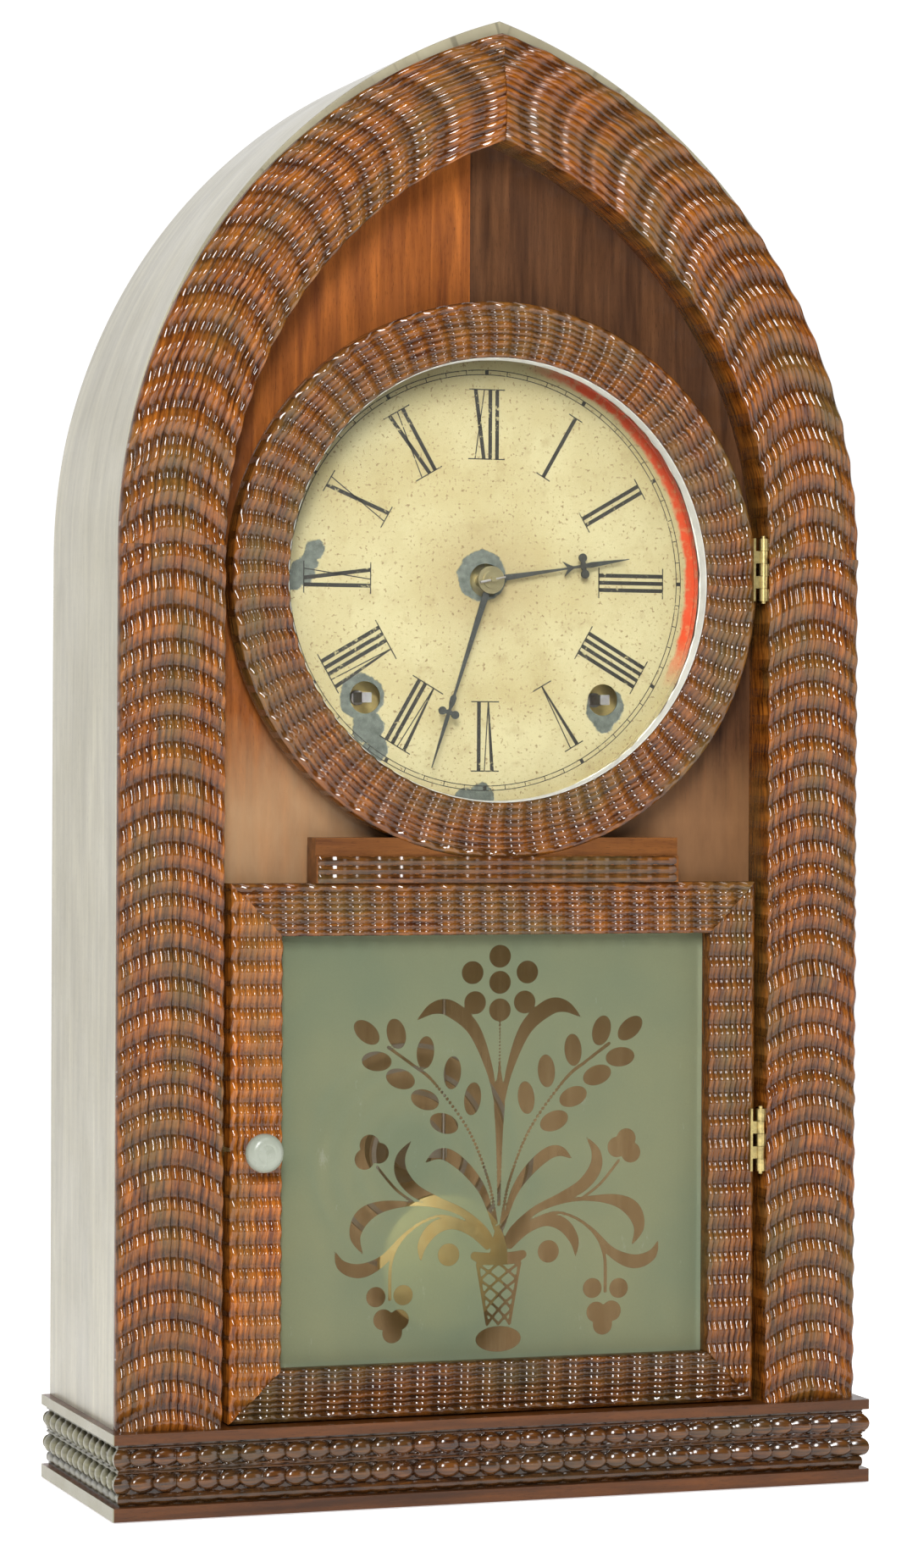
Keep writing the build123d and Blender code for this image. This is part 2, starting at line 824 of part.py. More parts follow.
screw_head_radius = 3.2
screw_head = 2.0
screw_end_y = 32.0
with BuildPart() as movement_screws:
    with BuildSketch(facing(screw_end_y)):
        with Locations(*screws_at):
            Circle(screw_radius)
    extrude(amount=screw_end_y - front_plate_y + plate_thick)
    with BuildSketch(facing(front_plate_y - plate_thick)):
        with Locations(*screws_at):
            Circle(screw_head_radius)
    extrude(amount=screw_head)
keep(movement_screws, "movement_screws")

rail_back_y = back_y - back_board_thick
with BuildPart() as movement_rails:
    with BuildSketch(facing(rail_back_y)):
        with Locations(*[(s * (rail_inner_x + rail_outer_x) / 2, 0) for s in (-1, 1)]):
            with Locations((0, plate_bottom_z)):
                Rectangle(
                    rail_outer_x - rail_inner_x,
                    plate_shoulder_z - plate_bottom_z,
                    align=(Align.CENTER, Align.MIN),
                )
        with Locations(*screws_at):
            Circle(screw_radius, mode=Mode.SUBTRACT)
    extrude(amount=rail_back_y - back_plate_y - plate_thick)
keep(movement_rails, "movement_rails")


# ---------------------------------------------------------------- springs and gong
def spiral_strip(inner_radius, half_pitch, half_turns, strip):
    """Face of a strip wound in half circles, each wider than the last, seen end on."""
    with BuildSketch() as coil:
        with BuildLine():
            for number in range(half_turns):
                radius = inner_radius + number * half_pitch
                middle = half_pitch if number % 2 else 0
                turn = -1 if number % 2 else 1
                for edge in (radius, radius + strip):
                    ThreePointArc(
                        (middle + turn * edge, 0), (middle, turn * edge), (middle - turn * edge, 0)
                    )
            last = inner_radius + (half_turns - 1) * half_pitch
            last_middle = half_pitch if (half_turns - 1) % 2 else 0
            last_turn = -1 if (half_turns - 1) % 2 else 1
            end_x = last_middle - last_turn * last
            Line((inner_radius, 0), (inner_radius + strip, 0))
            Line((end_x, 0), (end_x - last_turn * strip, 0))
        make_face()
    return coil.sketch


spring_back_y = 6.8
spring_width = 10.5
spring_inner = 3.4
spring_pitch = 1.1
spring_turns = 17
spring_sheet = 0.7
with BuildPart() as mainsprings:
    for centre in winding_holes:
        with BuildSketch(facing(spring_back_y, *centre)):
            add(spiral_strip(spring_inner, spring_pitch, spring_turns, spring_sheet))
        extrude(amount=spring_width)
keep(mainsprings, "mainsprings")

gong_x = -8.0
gong_strip = 1.6
gong_height = 2.4
gong_inner = 12.0
gong_pitch = 4.0
gong_turns = 8
post_radius = 6.0
with BuildPart() as gong:
    with BuildSketch(facing(gong_y + gong_height / 2, gong_x, gong_z)):
        add(spiral_strip(gong_inner, gong_pitch, gong_turns, gong_strip))
        with Locations(((gong_inner + gong_strip + post_radius) / 2, 0)):
            Rectangle(gong_inner + gong_strip - post_radius, gong_pitch)
        Circle(post_radius, mode=Mode.SUBTRACT)
    extrude(amount=gong_height)
keep(gong, "gong")

post_front_y = 24.5
post_flange = 5.0
post_flange_thick = 8.0
with BuildPart() as gong_post:
    with BuildSketch(facing(rail_back_y, gong_x, gong_z)):
        Circle(post_radius + post_flange)
    extrude(amount=post_flange_thick)
    with BuildSketch(facing(rail_back_y, gong_x, gong_z)):
        Circle(post_radius)
    extrude(amount=rail_back_y - post_front_y)
keep(gong_post, "gong_post")

# ---------------------------------------------------------------- wheels
tooth_foot = 1.3
tooth_head = 0.75
foot_share = 0.20
tip_share = 0.06
trundle_share = 0.17
shroud_thick = 0.7
shroud_lip = 0.8
mesh_play = 1.0
spoke_width = 2.4
hub_radius = 3.6
hub_rim = 0.8
rim_share = 0.84
root_overlap = 0.3


def toothed_face(module, teeth, bearing, bore):
    """A crossed-out wheel's face, with one tooth on the given bearing."""
    pitch_radius = module * teeth / 2
    tooth_pitch = pi * module
    root = pitch_radius - tooth_foot * module
    with BuildSketch() as wheel:
        Circle(root)
        with PolarLocations(0, 4, start_angle=bearing + 45):
            window = root * rim_share
            with BuildSketch(mode=Mode.SUBTRACT):
                with BuildLine():
                    near = hub_radius + hub_rim
                    half = spoke_width / 2
                    far = sqrt(window**2 - half**2)
                    Line((half, near), (half, far))
                    ThreePointArc(
                        (half, far), (window * sin(pi / 4), window * cos(pi / 4)), (far, half)
                    )
                    Line((far, half), (near, half))
                    Line((near, half), (half, near))
                make_face()
        with PolarLocations(0, teeth, start_angle=bearing):
            Polygon(
                (root - root_overlap, -foot_share * tooth_pitch),
                (pitch_radius, -foot_share * tooth_pitch),
                (pitch_radius + tooth_head * module, -tip_share * tooth_pitch),
                (pitch_radius + tooth_head * module, tip_share * tooth_pitch),
                (pitch_radius, foot_share * tooth_pitch),
                (root - root_overlap, foot_share * tooth_pitch),
                align=None,
            )
        Circle(bore, mode=Mode.SUBTRACT)
    return wheel.sketch


def lantern_pinion(at, wheel_back_y, module, leaves, bearing):
    """A lantern pinion round the wheel layer that drives it, with a gap towards that wheel."""
    pitch_radius = module * leaves / 2
    back = wheel_back_y + mesh_play
    length = wheel_thick + 2 * mesh_play
    with BuildPart() as pinion:
        for shroud_y in (back, back - length + shroud_thick):
            with BuildSketch(facing(shroud_y, *at)):
                Circle(pitch_radius + shroud_lip)
            extrude(amount=shroud_thick)
        with BuildSketch(facing(back, *at)):
            with PolarLocations(pitch_radius, leaves, start_angle=bearing + 180 + 180 / leaves):
                Circle(trundle_share * pi * module)
        extrude(amount=length)
    return pinion.part


def arbor(at, back, front):
    """A plain round arbor."""
    with BuildPart() as rod:
        with BuildSketch(facing(back, *at)):
            Circle(arbor_radius)
        extrude(amount=back - front)
    return rod.part


def driving_wheel(at, wheel_back_y, module, teeth, bearing):
    """A wheel fixed on its arbor."""
    with BuildPart() as wheel:
        with BuildSketch(facing(wheel_back_y, *at)):
            add(toothed_face(module, teeth, bearing, arbor_radius))
        extrude(amount=wheel_thick)
    return wheel.part


tube_radius = 4.2
tube_back_y = great_y + 1.0
tube_front_y = great_y - wheel_thick - 0.8
second_strike_y = -8.7
third_strike_y = -11.5
for at, name, towards in (
    (time_great_at, "time_great_wheel", time_second_at),
    (strike_great_at, "strike_great_wheel", strike_second_at),
):
    with BuildPart() as great_wheel:
        with BuildSketch(facing(great_y, *at)):
            add(toothed_face(great_module, great_teeth, bearing_to(at, towards), tube_radius))
        extrude(amount=wheel_thick)
        with BuildSketch(facing(tube_back_y, *at)):
            Circle(tube_radius)
            Circle(winding_arbor_radius + running_fit, mode=Mode.SUBTRACT)
        extrude(amount=tube_back_y - tube_front_y)
    keep(great_wheel, name)

square_side = 3.3
square_back_y = -18.0
square_front_y = -27.4
ratchet_teeth = 14
ratchet_radius = 7.6
ratchet_depth = 1.4
ratchet_root = ratchet_radius - 2.0
ratchet_gap = 0.3
for at, name in (
    (time_great_at, "time_winding_arbor"),
    (strike_great_at, "strike_winding_arbor"),
):
    with BuildPart() as winding_arbor:
        with BuildSketch(facing(arbor_back, *at)):
            Circle(winding_arbor_radius)
        extrude(amount=arbor_back - square_back_y)
        with BuildSketch(facing(square_back_y, *at)):
            Rectangle(square_side, square_side)
        extrude(amount=square_back_y - square_front_y)
        with BuildSketch(facing(tube_front_y - ratchet_gap, *at)):
            Circle(ratchet_radius - ratchet_depth)
            with PolarLocations(0, ratchet_teeth):
                Polygon(
                    (ratchet_root, -0.65 * ratchet_depth),
                    (ratchet_radius, -0.65 * ratchet_depth),
                    (ratchet_radius - ratchet_depth, ratchet_depth),
                    (ratchet_root, ratchet_depth),
                    align=None,
                )
        extrude(amount=wheel_thick)
    keep(winding_arbor, name)

with BuildPart() as time_second_wheel:
    add(arbor(time_second_at, arbor_back, arbor_front))
    add(
        lantern_pinion(
            time_second_at, great_y, great_module, great_pinion, bearing_to(time_great_at, time_second_at)
        )
    )
    bearing = bearing_to(time_second_at, centre_at)
    add(driving_wheel(time_second_at, second_y, second_module, second_teeth, bearing))
keep(time_second_wheel, "time_second_wheel")

tip_y = -33.8
shoulder_y = -19.6
stout_radius = 1.2
hand_square = 1.5
taper_pin_y = -32.6
taper_pin_lean = 78
taper_pin_radius = 0.45
taper_pin_end = 0.3
taper_pin_length = 9.0
hand_square_y = -29.6
with BuildPart() as centre_arbor:
    add(arbor(centre_at, arbor_back, shoulder_y))
    with BuildSketch(facing(shoulder_y, *centre_at)):
        Circle(stout_radius)
    extrude(amount=shoulder_y - hand_square_y)
    with BuildSketch(facing(hand_square_y, *centre_at)):
        Rectangle(hand_square, hand_square)
    extrude(amount=hand_square_y - tip_y)
    bearing = bearing_to(time_second_at, centre_at)
    add(lantern_pinion(centre_at, second_y, second_module, second_pinion, bearing))
    bearing = bearing_to(centre_at, time_third_at)
    add(driving_wheel(centre_at, centre_y, centre_module, centre_teeth, bearing))
    bearing = bearing_to(minute_at, centre_at)
    add(lantern_pinion(centre_at, cannon_y, cannon_module, cannon_teeth, bearing))
    with Locations(Location((0, taper_pin_y, dial_centre_z), (0, taper_pin_lean, 0))):
        Cylinder(taper_pin_radius, taper_pin_length, mode=Mode.SUBTRACT)
keep(centre_arbor, "centre_arbor")

with BuildPart() as time_third_wheel:
    add(arbor(time_third_at, arbor_back, arbor_front))
    bearing = bearing_to(centre_at, time_third_at)
    add(lantern_pinion(time_third_at, centre_y, centre_module, centre_pinion, bearing))
    bearing = bearing_to(time_third_at, escape_at)
    add(driving_wheel(time_third_at, third_y, third_module, third_teeth, bearing))
keep(time_third_wheel, "time_third_wheel")

escape_rim = escape_radius - 2.4
escape_tooth_half = 0.5
escape_tip = (0.05, 0.15)
escape_window_at = 5.6
escape_window_radius = 2.4
escape_windows = 5
with BuildPart() as escape_wheel:
    add(arbor(escape_at, arbor_back, arbor_front))
    bearing = bearing_to(time_third_at, escape_at)
    add(lantern_pinion(escape_at, third_y, third_module, third_pinion, bearing))
    with BuildSketch(facing(escape_y, *escape_at)):
        Circle(escape_rim)
        with PolarLocations(0, escape_teeth):
            Polygon(
                (escape_rim - root_overlap, -escape_tooth_half),
                (escape_radius, escape_tip[0]),
                (escape_radius, escape_tip[1]),
                (escape_rim - root_overlap, escape_tooth_half),
                align=None,
            )
        with PolarLocations(escape_window_at, escape_windows):
            Circle(escape_window_radius, mode=Mode.SUBTRACT)
    extrude(amount=wheel_thick)
keep(escape_wheel, "escape_wheel")

# ---------------------------------------------------------------- verge and pendulum
pallet_gap = 0.9
verge_band = 2.4
verge_span = 96
crutch_foot_z = 324.0
crutch_y = 11.8
crutch_thick = 1.2
crutch_back_y = crutch_y - 0.2
crutch_width = 1.2
crutch_hub_radius = 2.0
verge_hub_radius = 3.2
fork_foot = (3.8, 2.4)
fork_prong = 0.7
fork_back_y = pendulum_y + 1.6
with BuildPart() as verge:
    add(arbor(verge_at, crutch_back_y, arbor_front))
    with BuildSketch(facing(escape_y, *verge_at)):
        Circle(verge_hub_radius)
        with Locations((0, escape_at[1] - pivot_z)):
            Circle(escape_radius + pallet_gap + verge_band)
            Circle(escape_radius + pallet_gap, mode=Mode.SUBTRACT)
        for side in (-1, 1):
            with Locations(Location((0, escape_at[1] - pivot_z), 90 + side * verge_span / 2)):
                Rectangle(
                    wedge_side,
                    wedge_side,
                    align=(Align.CENTER, Align.MIN if side > 0 else Align.MAX),
                    mode=Mode.SUBTRACT,
                )
    extrude(amount=wheel_thick)
    with BuildSketch(facing(crutch_back_y, *verge_at)):
        Circle(crutch_hub_radius)
        Rectangle(crutch_width, pivot_z - crutch_foot_z, align=(Align.CENTER, Align.MAX))
        with Locations((0, crutch_foot_z - pivot_z)):
            Rectangle(*fork_foot, align=(Align.CENTER, Align.MIN))
    extrude(amount=crutch_thick)
    # fork that the pendulum rod runs in
    with BuildSketch(facing(fork_back_y, 0, crutch_foot_z)):
        with Locations(*[(s * (fork_foot[0] - fork_prong) / 2, fork_foot[1] / 2) for s in (-1, 1)]):
            Rectangle(fork_prong, fork_foot[1])
    extrude(amount=fork_back_y - crutch_back_y)
keep(verge, "verge")

rod_radius = 0.7
spring_top_z = 358.0
rod_top_z = 341.0
leaf_spring = (0.2, 2.6)
leaf_spring_root = 2.0
with BuildPart() as pendulum_rod:
    with Locations((0, pendulum_y, bob_z + bob_radius)):
        Cylinder(
            rod_radius,
            rod_top_z - bob_z - bob_radius,
            align=(Align.CENTER, Align.CENTER, Align.MIN),
        )
    with Locations((0, pendulum_y, rod_top_z - leaf_spring_root)):
        Box(
            *leaf_spring,
            spring_top_z - rod_top_z + leaf_spring_root,
            align=(Align.CENTER, Align.CENTER, Align.MIN),
        )
keep(pendulum_rod, "pendulum_rod")

bob_dome = 100.0
with BuildPart() as pendulum_bob:
    with Locations((0, pendulum_y, bob_z)):
        Cylinder(bob_radius, bob_thick, rotation=(90, 0, 0))
    for side in (-1, 1):
        with Locations((0, pendulum_y + side * (bob_thick / 2 - bob_dome), bob_z)):
            Sphere(bob_dome, mode=Mode.INTERSECT)
keep(pendulum_bob, "pendulum_bob")

# ---------------------------------------------------------------- strike train
with BuildPart() as strike_second_wheel:
    add(arbor(strike_second_at, arbor_back, arbor_front))
    bearing = bearing_to(strike_great_at, strike_second_at)
    add(lantern_pinion(strike_second_at, great_y, great_module, great_pinion, bearing))
    bearing = bearing_to(strike_second_at, strike_third_at)
    add(driving_wheel(strike_second_at, second_strike_y, second_module, second_teeth, bearing))
keep(strike_second_wheel, "strike_second_wheel")

with BuildPart() as strike_third_wheel:
    add(arbor(strike_third_at, arbor_back, arbor_front))
    bearing = bearing_to(strike_second_at, strike_third_at)
    add(lantern_pinion(strike_third_at, second_strike_y, second_module, second_pinion, bearing))
    bearing = bearing_to(strike_third_at, fly_at)
    add(driving_wheel(strike_third_at, third_strike_y, centre_module, centre_teeth, bearing))
keep(strike_third_wheel, "strike_third_wheel")

fly_half = 7.0
fly_long = 10.0
fly_thick = 0.6
with BuildPart() as fly:
    add(arbor(fly_at, arbor_back, arbor_front))
    bearing = bearing_to(strike_third_at, fly_at)
    add(lantern_pinion(fly_at, third_strike_y, centre_module, centre_pinion, bearing))
    with Locations((fly_at[0], centre_y, fly_at[1])):
        Box(2 * fly_half, fly_long, fly_thick)
keep(fly, "fly")

# the count wheel has one deep notch after each hour's blows and one for each half hour
count_radius = 13.0
count_blows = 90
notch_depth = 2.2
notch_width = 0.5
count_y = -13.1
count_thick = 0.8
hours = 12
with BuildPart() as count_wheel:
    with BuildSketch(facing(count_y, *strike_second_at)):
        Circle(count_radius)
        Circle(arbor_radius + running_fit, mode=Mode.SUBTRACT)
        blows = 0
        for hour in range(1, hours + 1):
            for step in (hour, 1):
                blows += step
                with PolarLocations(count_radius, 1, start_angle=360 * blows / count_blows):
                    Rectangle(2 * notch_depth, notch_width, mode=Mode.SUBTRACT)
    extrude(amount=count_thick)
keep(count_wheel, "count_wheel")

hammer_back_y = 28.0
hammer_wire_y = hammer_back_y - 1.2
hammer_wire = 0.8
hammer_head_radius = 4.0
hammer_head_length = 9.0
with BuildPart() as hammer:
    add(arbor(hammer_at, hammer_back_y, arbor_front))
    with Locations((hammer_x, hammer_wire_y, hammer_z - hammer_length)):
        Cylinder(hammer_wire, hammer_length, align=(Align.CENTER, Align.CENTER, Align.MIN))
    with BuildSketch(facing(gong_y + hammer_head_length / 2, hammer_x, hammer_z - hammer_length)):
        Circle(hammer_head_radius)
    extrude(amount=hammer_head_length)
keep(hammer, "hammer")

# ---------------------------------------------------------------- motion work
stud_gap = 0.1
stud_end_y = hour_y - wheel_thick - mesh_play - 0.3
with BuildPart() as minute_wheel:
    add(arbor(minute_at, front_plate_y - stud_gap, stud_end_y))
    bearing = bearing_to(minute_at, centre_at)
    add(driving_wheel(minute_at, cannon_y, cannon_module, minute_teeth, bearing))
    bearing = bearing_to(centre_at, minute_at)
    add(lantern_pinion(minute_at, hour_y, hour_module, minute_pinion, bearing))
keep(minute_wheel, "minute_wheel")

pipe_outer = 2.2
hour_hand_y = -27.7
hand_thick = 0.5
pipe_end = 0.2
with BuildPart() as hour_wheel:
    with BuildSketch(facing(hour_y, *centre_at)):
        add(toothed_face(hour_module, hour_teeth, bearing_to(centre_at, minute_at), pipe_outer))
    extrude(amount=wheel_thick)
    with BuildSketch(facing(hour_y, *centre_at)):
        Circle(pipe_outer)
        Circle(stout_radius + running_fit, mode=Mode.SUBTRACT)
    extrude(amount=hour_y - hour_hand_y + hand_thick + pipe_end)
keep(hour_wheel, "hour_wheel")

# ---------------------------------------------------------------- hands
hour_hand_clock_angle = 81
minute_hand_clock_angle = 198
minute_hand_y = -29.9


def hand_plane(y, clock_angle):
    """A plane in front of the dial whose sketch x points along a hand."""
    turn = radians(90 - clock_angle)
    return Plane(
        origin=(0, y, dial_centre_z), x_dir=(cos(turn), 0, sin(turn)), z_dir=(0, -1, 0)
    )


def mirrored(points):
    """Close an outline that is given along one edge of a hand and repeated along the other."""
    return points + [(x, -y) for x, y in reversed(points)]


def hand_face(hub, stem, blade, disc_at, disc_radius, arm_width):
    """A hand lying along +X: a hub, a tapering stem, two discs on short arms and a pointed blade."""
    with BuildSketch() as face:
        Circle(hub)
        Polygon(*mirrored(stem), align=None)
        Polygon(*mirrored(blade), align=None)
        for side in (-1, 1):
            with Locations((disc_at[0], side * disc_at[1])):
                Circle(disc_radius)
            Polygon(
                (disc_at[0] - 1.6 * arm_width, 0),
                (disc_at[0] - arm_width / 2, side * disc_at[1]),
                (disc_at[0] + arm_width / 2, side * disc_at[1]),
                (disc_at[0] + arm_width, 0),
                align=None,
            )
    return face.sketch


hour_hub = 3.6
hour_stem = [(2.0, 1.15), (26.8, 0.35), (29.4, 0.45), (32.5, 0.5)]
hour_blade = [(31.0, 0.45), (34.6, 0.6), (37.2, 0.95), (50.8, 0.12)]
hour_discs = (34.4, 2.75)
hour_disc_radius = 1.45
barb_root = 31.4
barb_tip = (27.0, 2.5)
barb_width = 0.9
with BuildPart() as hour_hand:
    with BuildSketch(hand_plane(hour_hand_y, hour_hand_clock_angle)):
        add(hand_face(hour_hub, hour_stem, hour_blade, hour_discs, hour_disc_radius, 0.8))
        for side in (-1, 1):
            # swallow-tail barbs that sweep back along the stem
            Polygon(
                (barb_root, 0),
                (barb_root - 2 * barb_width, side * barb_width),
                (barb_tip[0], side * barb_tip[1]),
                (barb_root - 3 * barb_width, 0),
                align=None,
            )
        Circle(pipe_outer, mode=Mode.SUBTRACT)
    extrude(amount=hand_thick)
keep(hour_hand, "hour_hand")

minute_hub = 3.2
minute_stem = [(2.0, 1.15), (40.0, 0.4), (41.0, 1.05), (43.0, 0.95), (44.6, 0.45), (47.0, 0.5)]
minute_blade = [(45.0, 0.4), (48.2, 0.65), (65.4, 0.12)]
minute_discs = (46.3, 2.35)
minute_disc_radius = 1.35
with BuildPart() as minute_hand:
    with BuildSketch(hand_plane(minute_hand_y, minute_hand_clock_angle)):
        add(hand_face(minute_hub, minute_stem, minute_blade, minute_discs, minute_disc_radius, 0.7))
        Rectangle(
            hand_square,
            hand_square,
            rotation=minute_hand_clock_angle - 90,
            mode=Mode.SUBTRACT,
        )
    extrude(amount=hand_thick)
keep(minute_hand, "minute_hand")

collet_radius = 4.6
collet_flange = 0.8
collet_boss_radius = 2.9
collet_back_y = minute_hand_y - hand_thick
collet_front_y = -31.9
with BuildPart() as hand_collet:
    with BuildSketch(facing(collet_back_y, *centre_at)):
        Circle(collet_radius)
    extrude(amount=collet_flange)
    with BuildSketch(facing(collet_back_y - collet_flange, *centre_at)):
        Circle(collet_boss_radius)
    extrude(amount=collet_back_y - collet_flange - collet_front_y)
    with BuildSketch(facing(collet_back_y, *centre_at)):
        Rectangle(hand_square, hand_square)
    extrude(amount=collet_radius, mode=Mode.SUBTRACT)
keep(hand_collet, "hand_collet")

with BuildPart() as taper_pin:
    with Locations(Location((0, taper_pin_y, dial_centre_z), (0, taper_pin_lean, 0))):
        Cone(taper_pin_radius, taper_pin_end, taper_pin_length)
keep(taper_pin, "taper_pin")
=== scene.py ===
import math

import bmesh
import bpy
import numpy as np
from mathutils import Matrix, Vector


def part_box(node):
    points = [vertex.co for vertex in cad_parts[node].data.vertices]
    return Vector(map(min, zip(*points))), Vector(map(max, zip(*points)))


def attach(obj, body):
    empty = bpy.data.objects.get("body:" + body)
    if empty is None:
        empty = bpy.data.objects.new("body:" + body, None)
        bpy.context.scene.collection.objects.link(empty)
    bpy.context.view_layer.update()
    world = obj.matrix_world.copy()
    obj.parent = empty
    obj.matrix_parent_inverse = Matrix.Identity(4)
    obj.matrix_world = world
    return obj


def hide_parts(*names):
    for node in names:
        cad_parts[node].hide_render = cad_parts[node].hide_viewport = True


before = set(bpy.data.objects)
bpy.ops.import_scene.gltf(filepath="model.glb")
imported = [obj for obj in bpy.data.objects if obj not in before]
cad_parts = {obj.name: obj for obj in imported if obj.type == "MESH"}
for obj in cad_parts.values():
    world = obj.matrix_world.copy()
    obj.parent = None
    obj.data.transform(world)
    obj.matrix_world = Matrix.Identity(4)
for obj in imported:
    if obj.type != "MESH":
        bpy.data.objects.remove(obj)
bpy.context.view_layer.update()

MM = 0.001


def low(node):
    """Lowest corner of a CAD node, in millimetres."""
    return [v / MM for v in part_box(node)[0]]


def high(node):
    """Highest corner of a CAD node, in millimetres."""
    return [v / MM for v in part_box(node)[1]]


# ---------------- sizes from the frame, in mm
half_width = high("lower_right_moulding")[0]
base_top = low("lower_right_moulding")[2]
spring_z = high("lower_right_moulding")[2]
moulding_inner = low("lower_right_moulding")[0]
moulding_width = half_width - moulding_inner
moulding_apex = high("upper_right_moulding")[2]
shell_apex = high("right_case_side")[2]
shell_front = low("right_case_side")[1]
shell_back = high("right_case_side")[1]
ring_outer = (high("door_ring")[2] - low("door_ring")[2]) / 2
ring_z = (high("door_ring")[2] + low("door_ring")[2]) / 2
door_back = high("door_ring")[1]
frame_half = high("door_top_rail")[0]
frame_top = high("door_top_rail")[2]
frame_bottom = low("door_bottom_rail")[2]
strip_width = frame_top - low("door_top_rail")[2]
dial_z = (low("dial")[2] + high("dial")[2]) / 2
base_half = high("base_top_slab")[0]
base_front = low("base_top_slab")[1]
base_back = high("base_top_slab")[1]
slab_low = high("base_bottom_slab")[2]
slab_high = low("base_top_slab")[2]


def arc_of(apex):
    """Centre offset and radius of an arch arc that starts upright at the spring line."""
    rise = apex - spring_z
    offset = (rise * rise - half_width * half_width) / (2 * half_width)
    return offset, half_width + offset


moulding_offset, moulding_radius = arc_of(moulding_apex)
shell_offset, shell_radius = arc_of(shell_apex)


# ---------------- smooth seeded noise
knot_count = 512
knot_start = 200.0


def wobble(x, seed, step):
    """Smooth noise from -1 to 1 along a line, repeatable for one seed."""
    rng = np.random.default_rng(seed)
    knots = rng.uniform(-1, 1, knot_count)
    t = np.asarray(x, float) / step + knot_start
    i = np.floor(t).astype(int) % (knot_count - 1)
    f = t - np.floor(t)
    f = f * f * (3 - 2 * f)
    return knots[i] * (1 - f) + knots[i + 1] * f


# ---------------- meshes
grain_scale = 0.01


def grid_object(name, points, body, material, closed=False, caps=False, fields=None, uv=None,
                stands_for=(), sharp=35):
    """A mesh from a grid of points in mm. Each row is one closed section, and with closed set the last row
    joins the first. Fields hold a value for each point, and uv places each point in the grain, in mm."""
    rows, cols = points.shape[:2]
    verts = (points.reshape(-1, 3) * MM).tolist()
    j = np.arange(rows if closed else rows - 1)[:, None]
    i = np.arange(cols)[None, :]
    j1 = (j + 1) % rows
    i1 = (i + 1) % cols
    quads = np.stack([j * cols + i, j * cols + i1, j1 * cols + i1, j1 * cols + i], -1)
    faces = quads.reshape(-1, 4).tolist()
    if caps:
        faces.append(list(range(cols))[::-1])
        faces.append([(rows - 1) * cols + k for k in range(cols)])
    mesh = bpy.data.meshes.new(name)
    mesh.from_pydata(verts, [], faces)
    if uv is not None:
        layer = mesh.uv_layers.new(name="grain")
        flat_uv = uv.reshape(-1, 2)
        loops = np.zeros(len(mesh.loops), dtype=np.int32)
        mesh.loops.foreach_get("vertex_index", loops)
        layer.data.foreach_set("uv", (flat_uv[loops] * grain_scale).ravel().astype(np.float32))
    for key, values in (fields or {}).items():
        attribute = mesh.attributes.new(key, "FLOAT", "POINT")
        attribute.data.foreach_set("value", values.ravel().astype(np.float32))
    return finish_object(name, mesh, body, material, stands_for, sharp)


def finish_object(name, mesh, body, material, stands_for, sharp):
    """Smooth a mesh except at edges sharper than sharp degrees, and let it ride on its body."""
    mesh.validate()
    bm = bmesh.new()
    bm.from_mesh(mesh)
    bmesh.ops.recalc_face_normals(bm, faces=bm.faces)
    bm.to_mesh(mesh)
    bm.free()
    for polygon in mesh.polygons:
        polygon.use_smooth = True
    mesh.set_sharp_from_angle(angle=math.radians(sharp))
    obj = bpy.data.objects.new(name, mesh)
    bpy.context.scene.collection.objects.link(obj)
    mesh.materials.append(material)
    if stands_for:
        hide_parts(*stands_for)
    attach(obj, body)
    return obj


def moved_back(points, y):
    """A copy of some points at depth y."""
    copy = points.copy()
    copy[..., 1] = y
    return copy


def padded(values, pad, after=1):
    """Rows of values with one column of pad before them, and after columns of it behind them."""
    edge = np.full((len(values), 1), pad)
    return np.concatenate([edge, values] + [edge] * after, 1)


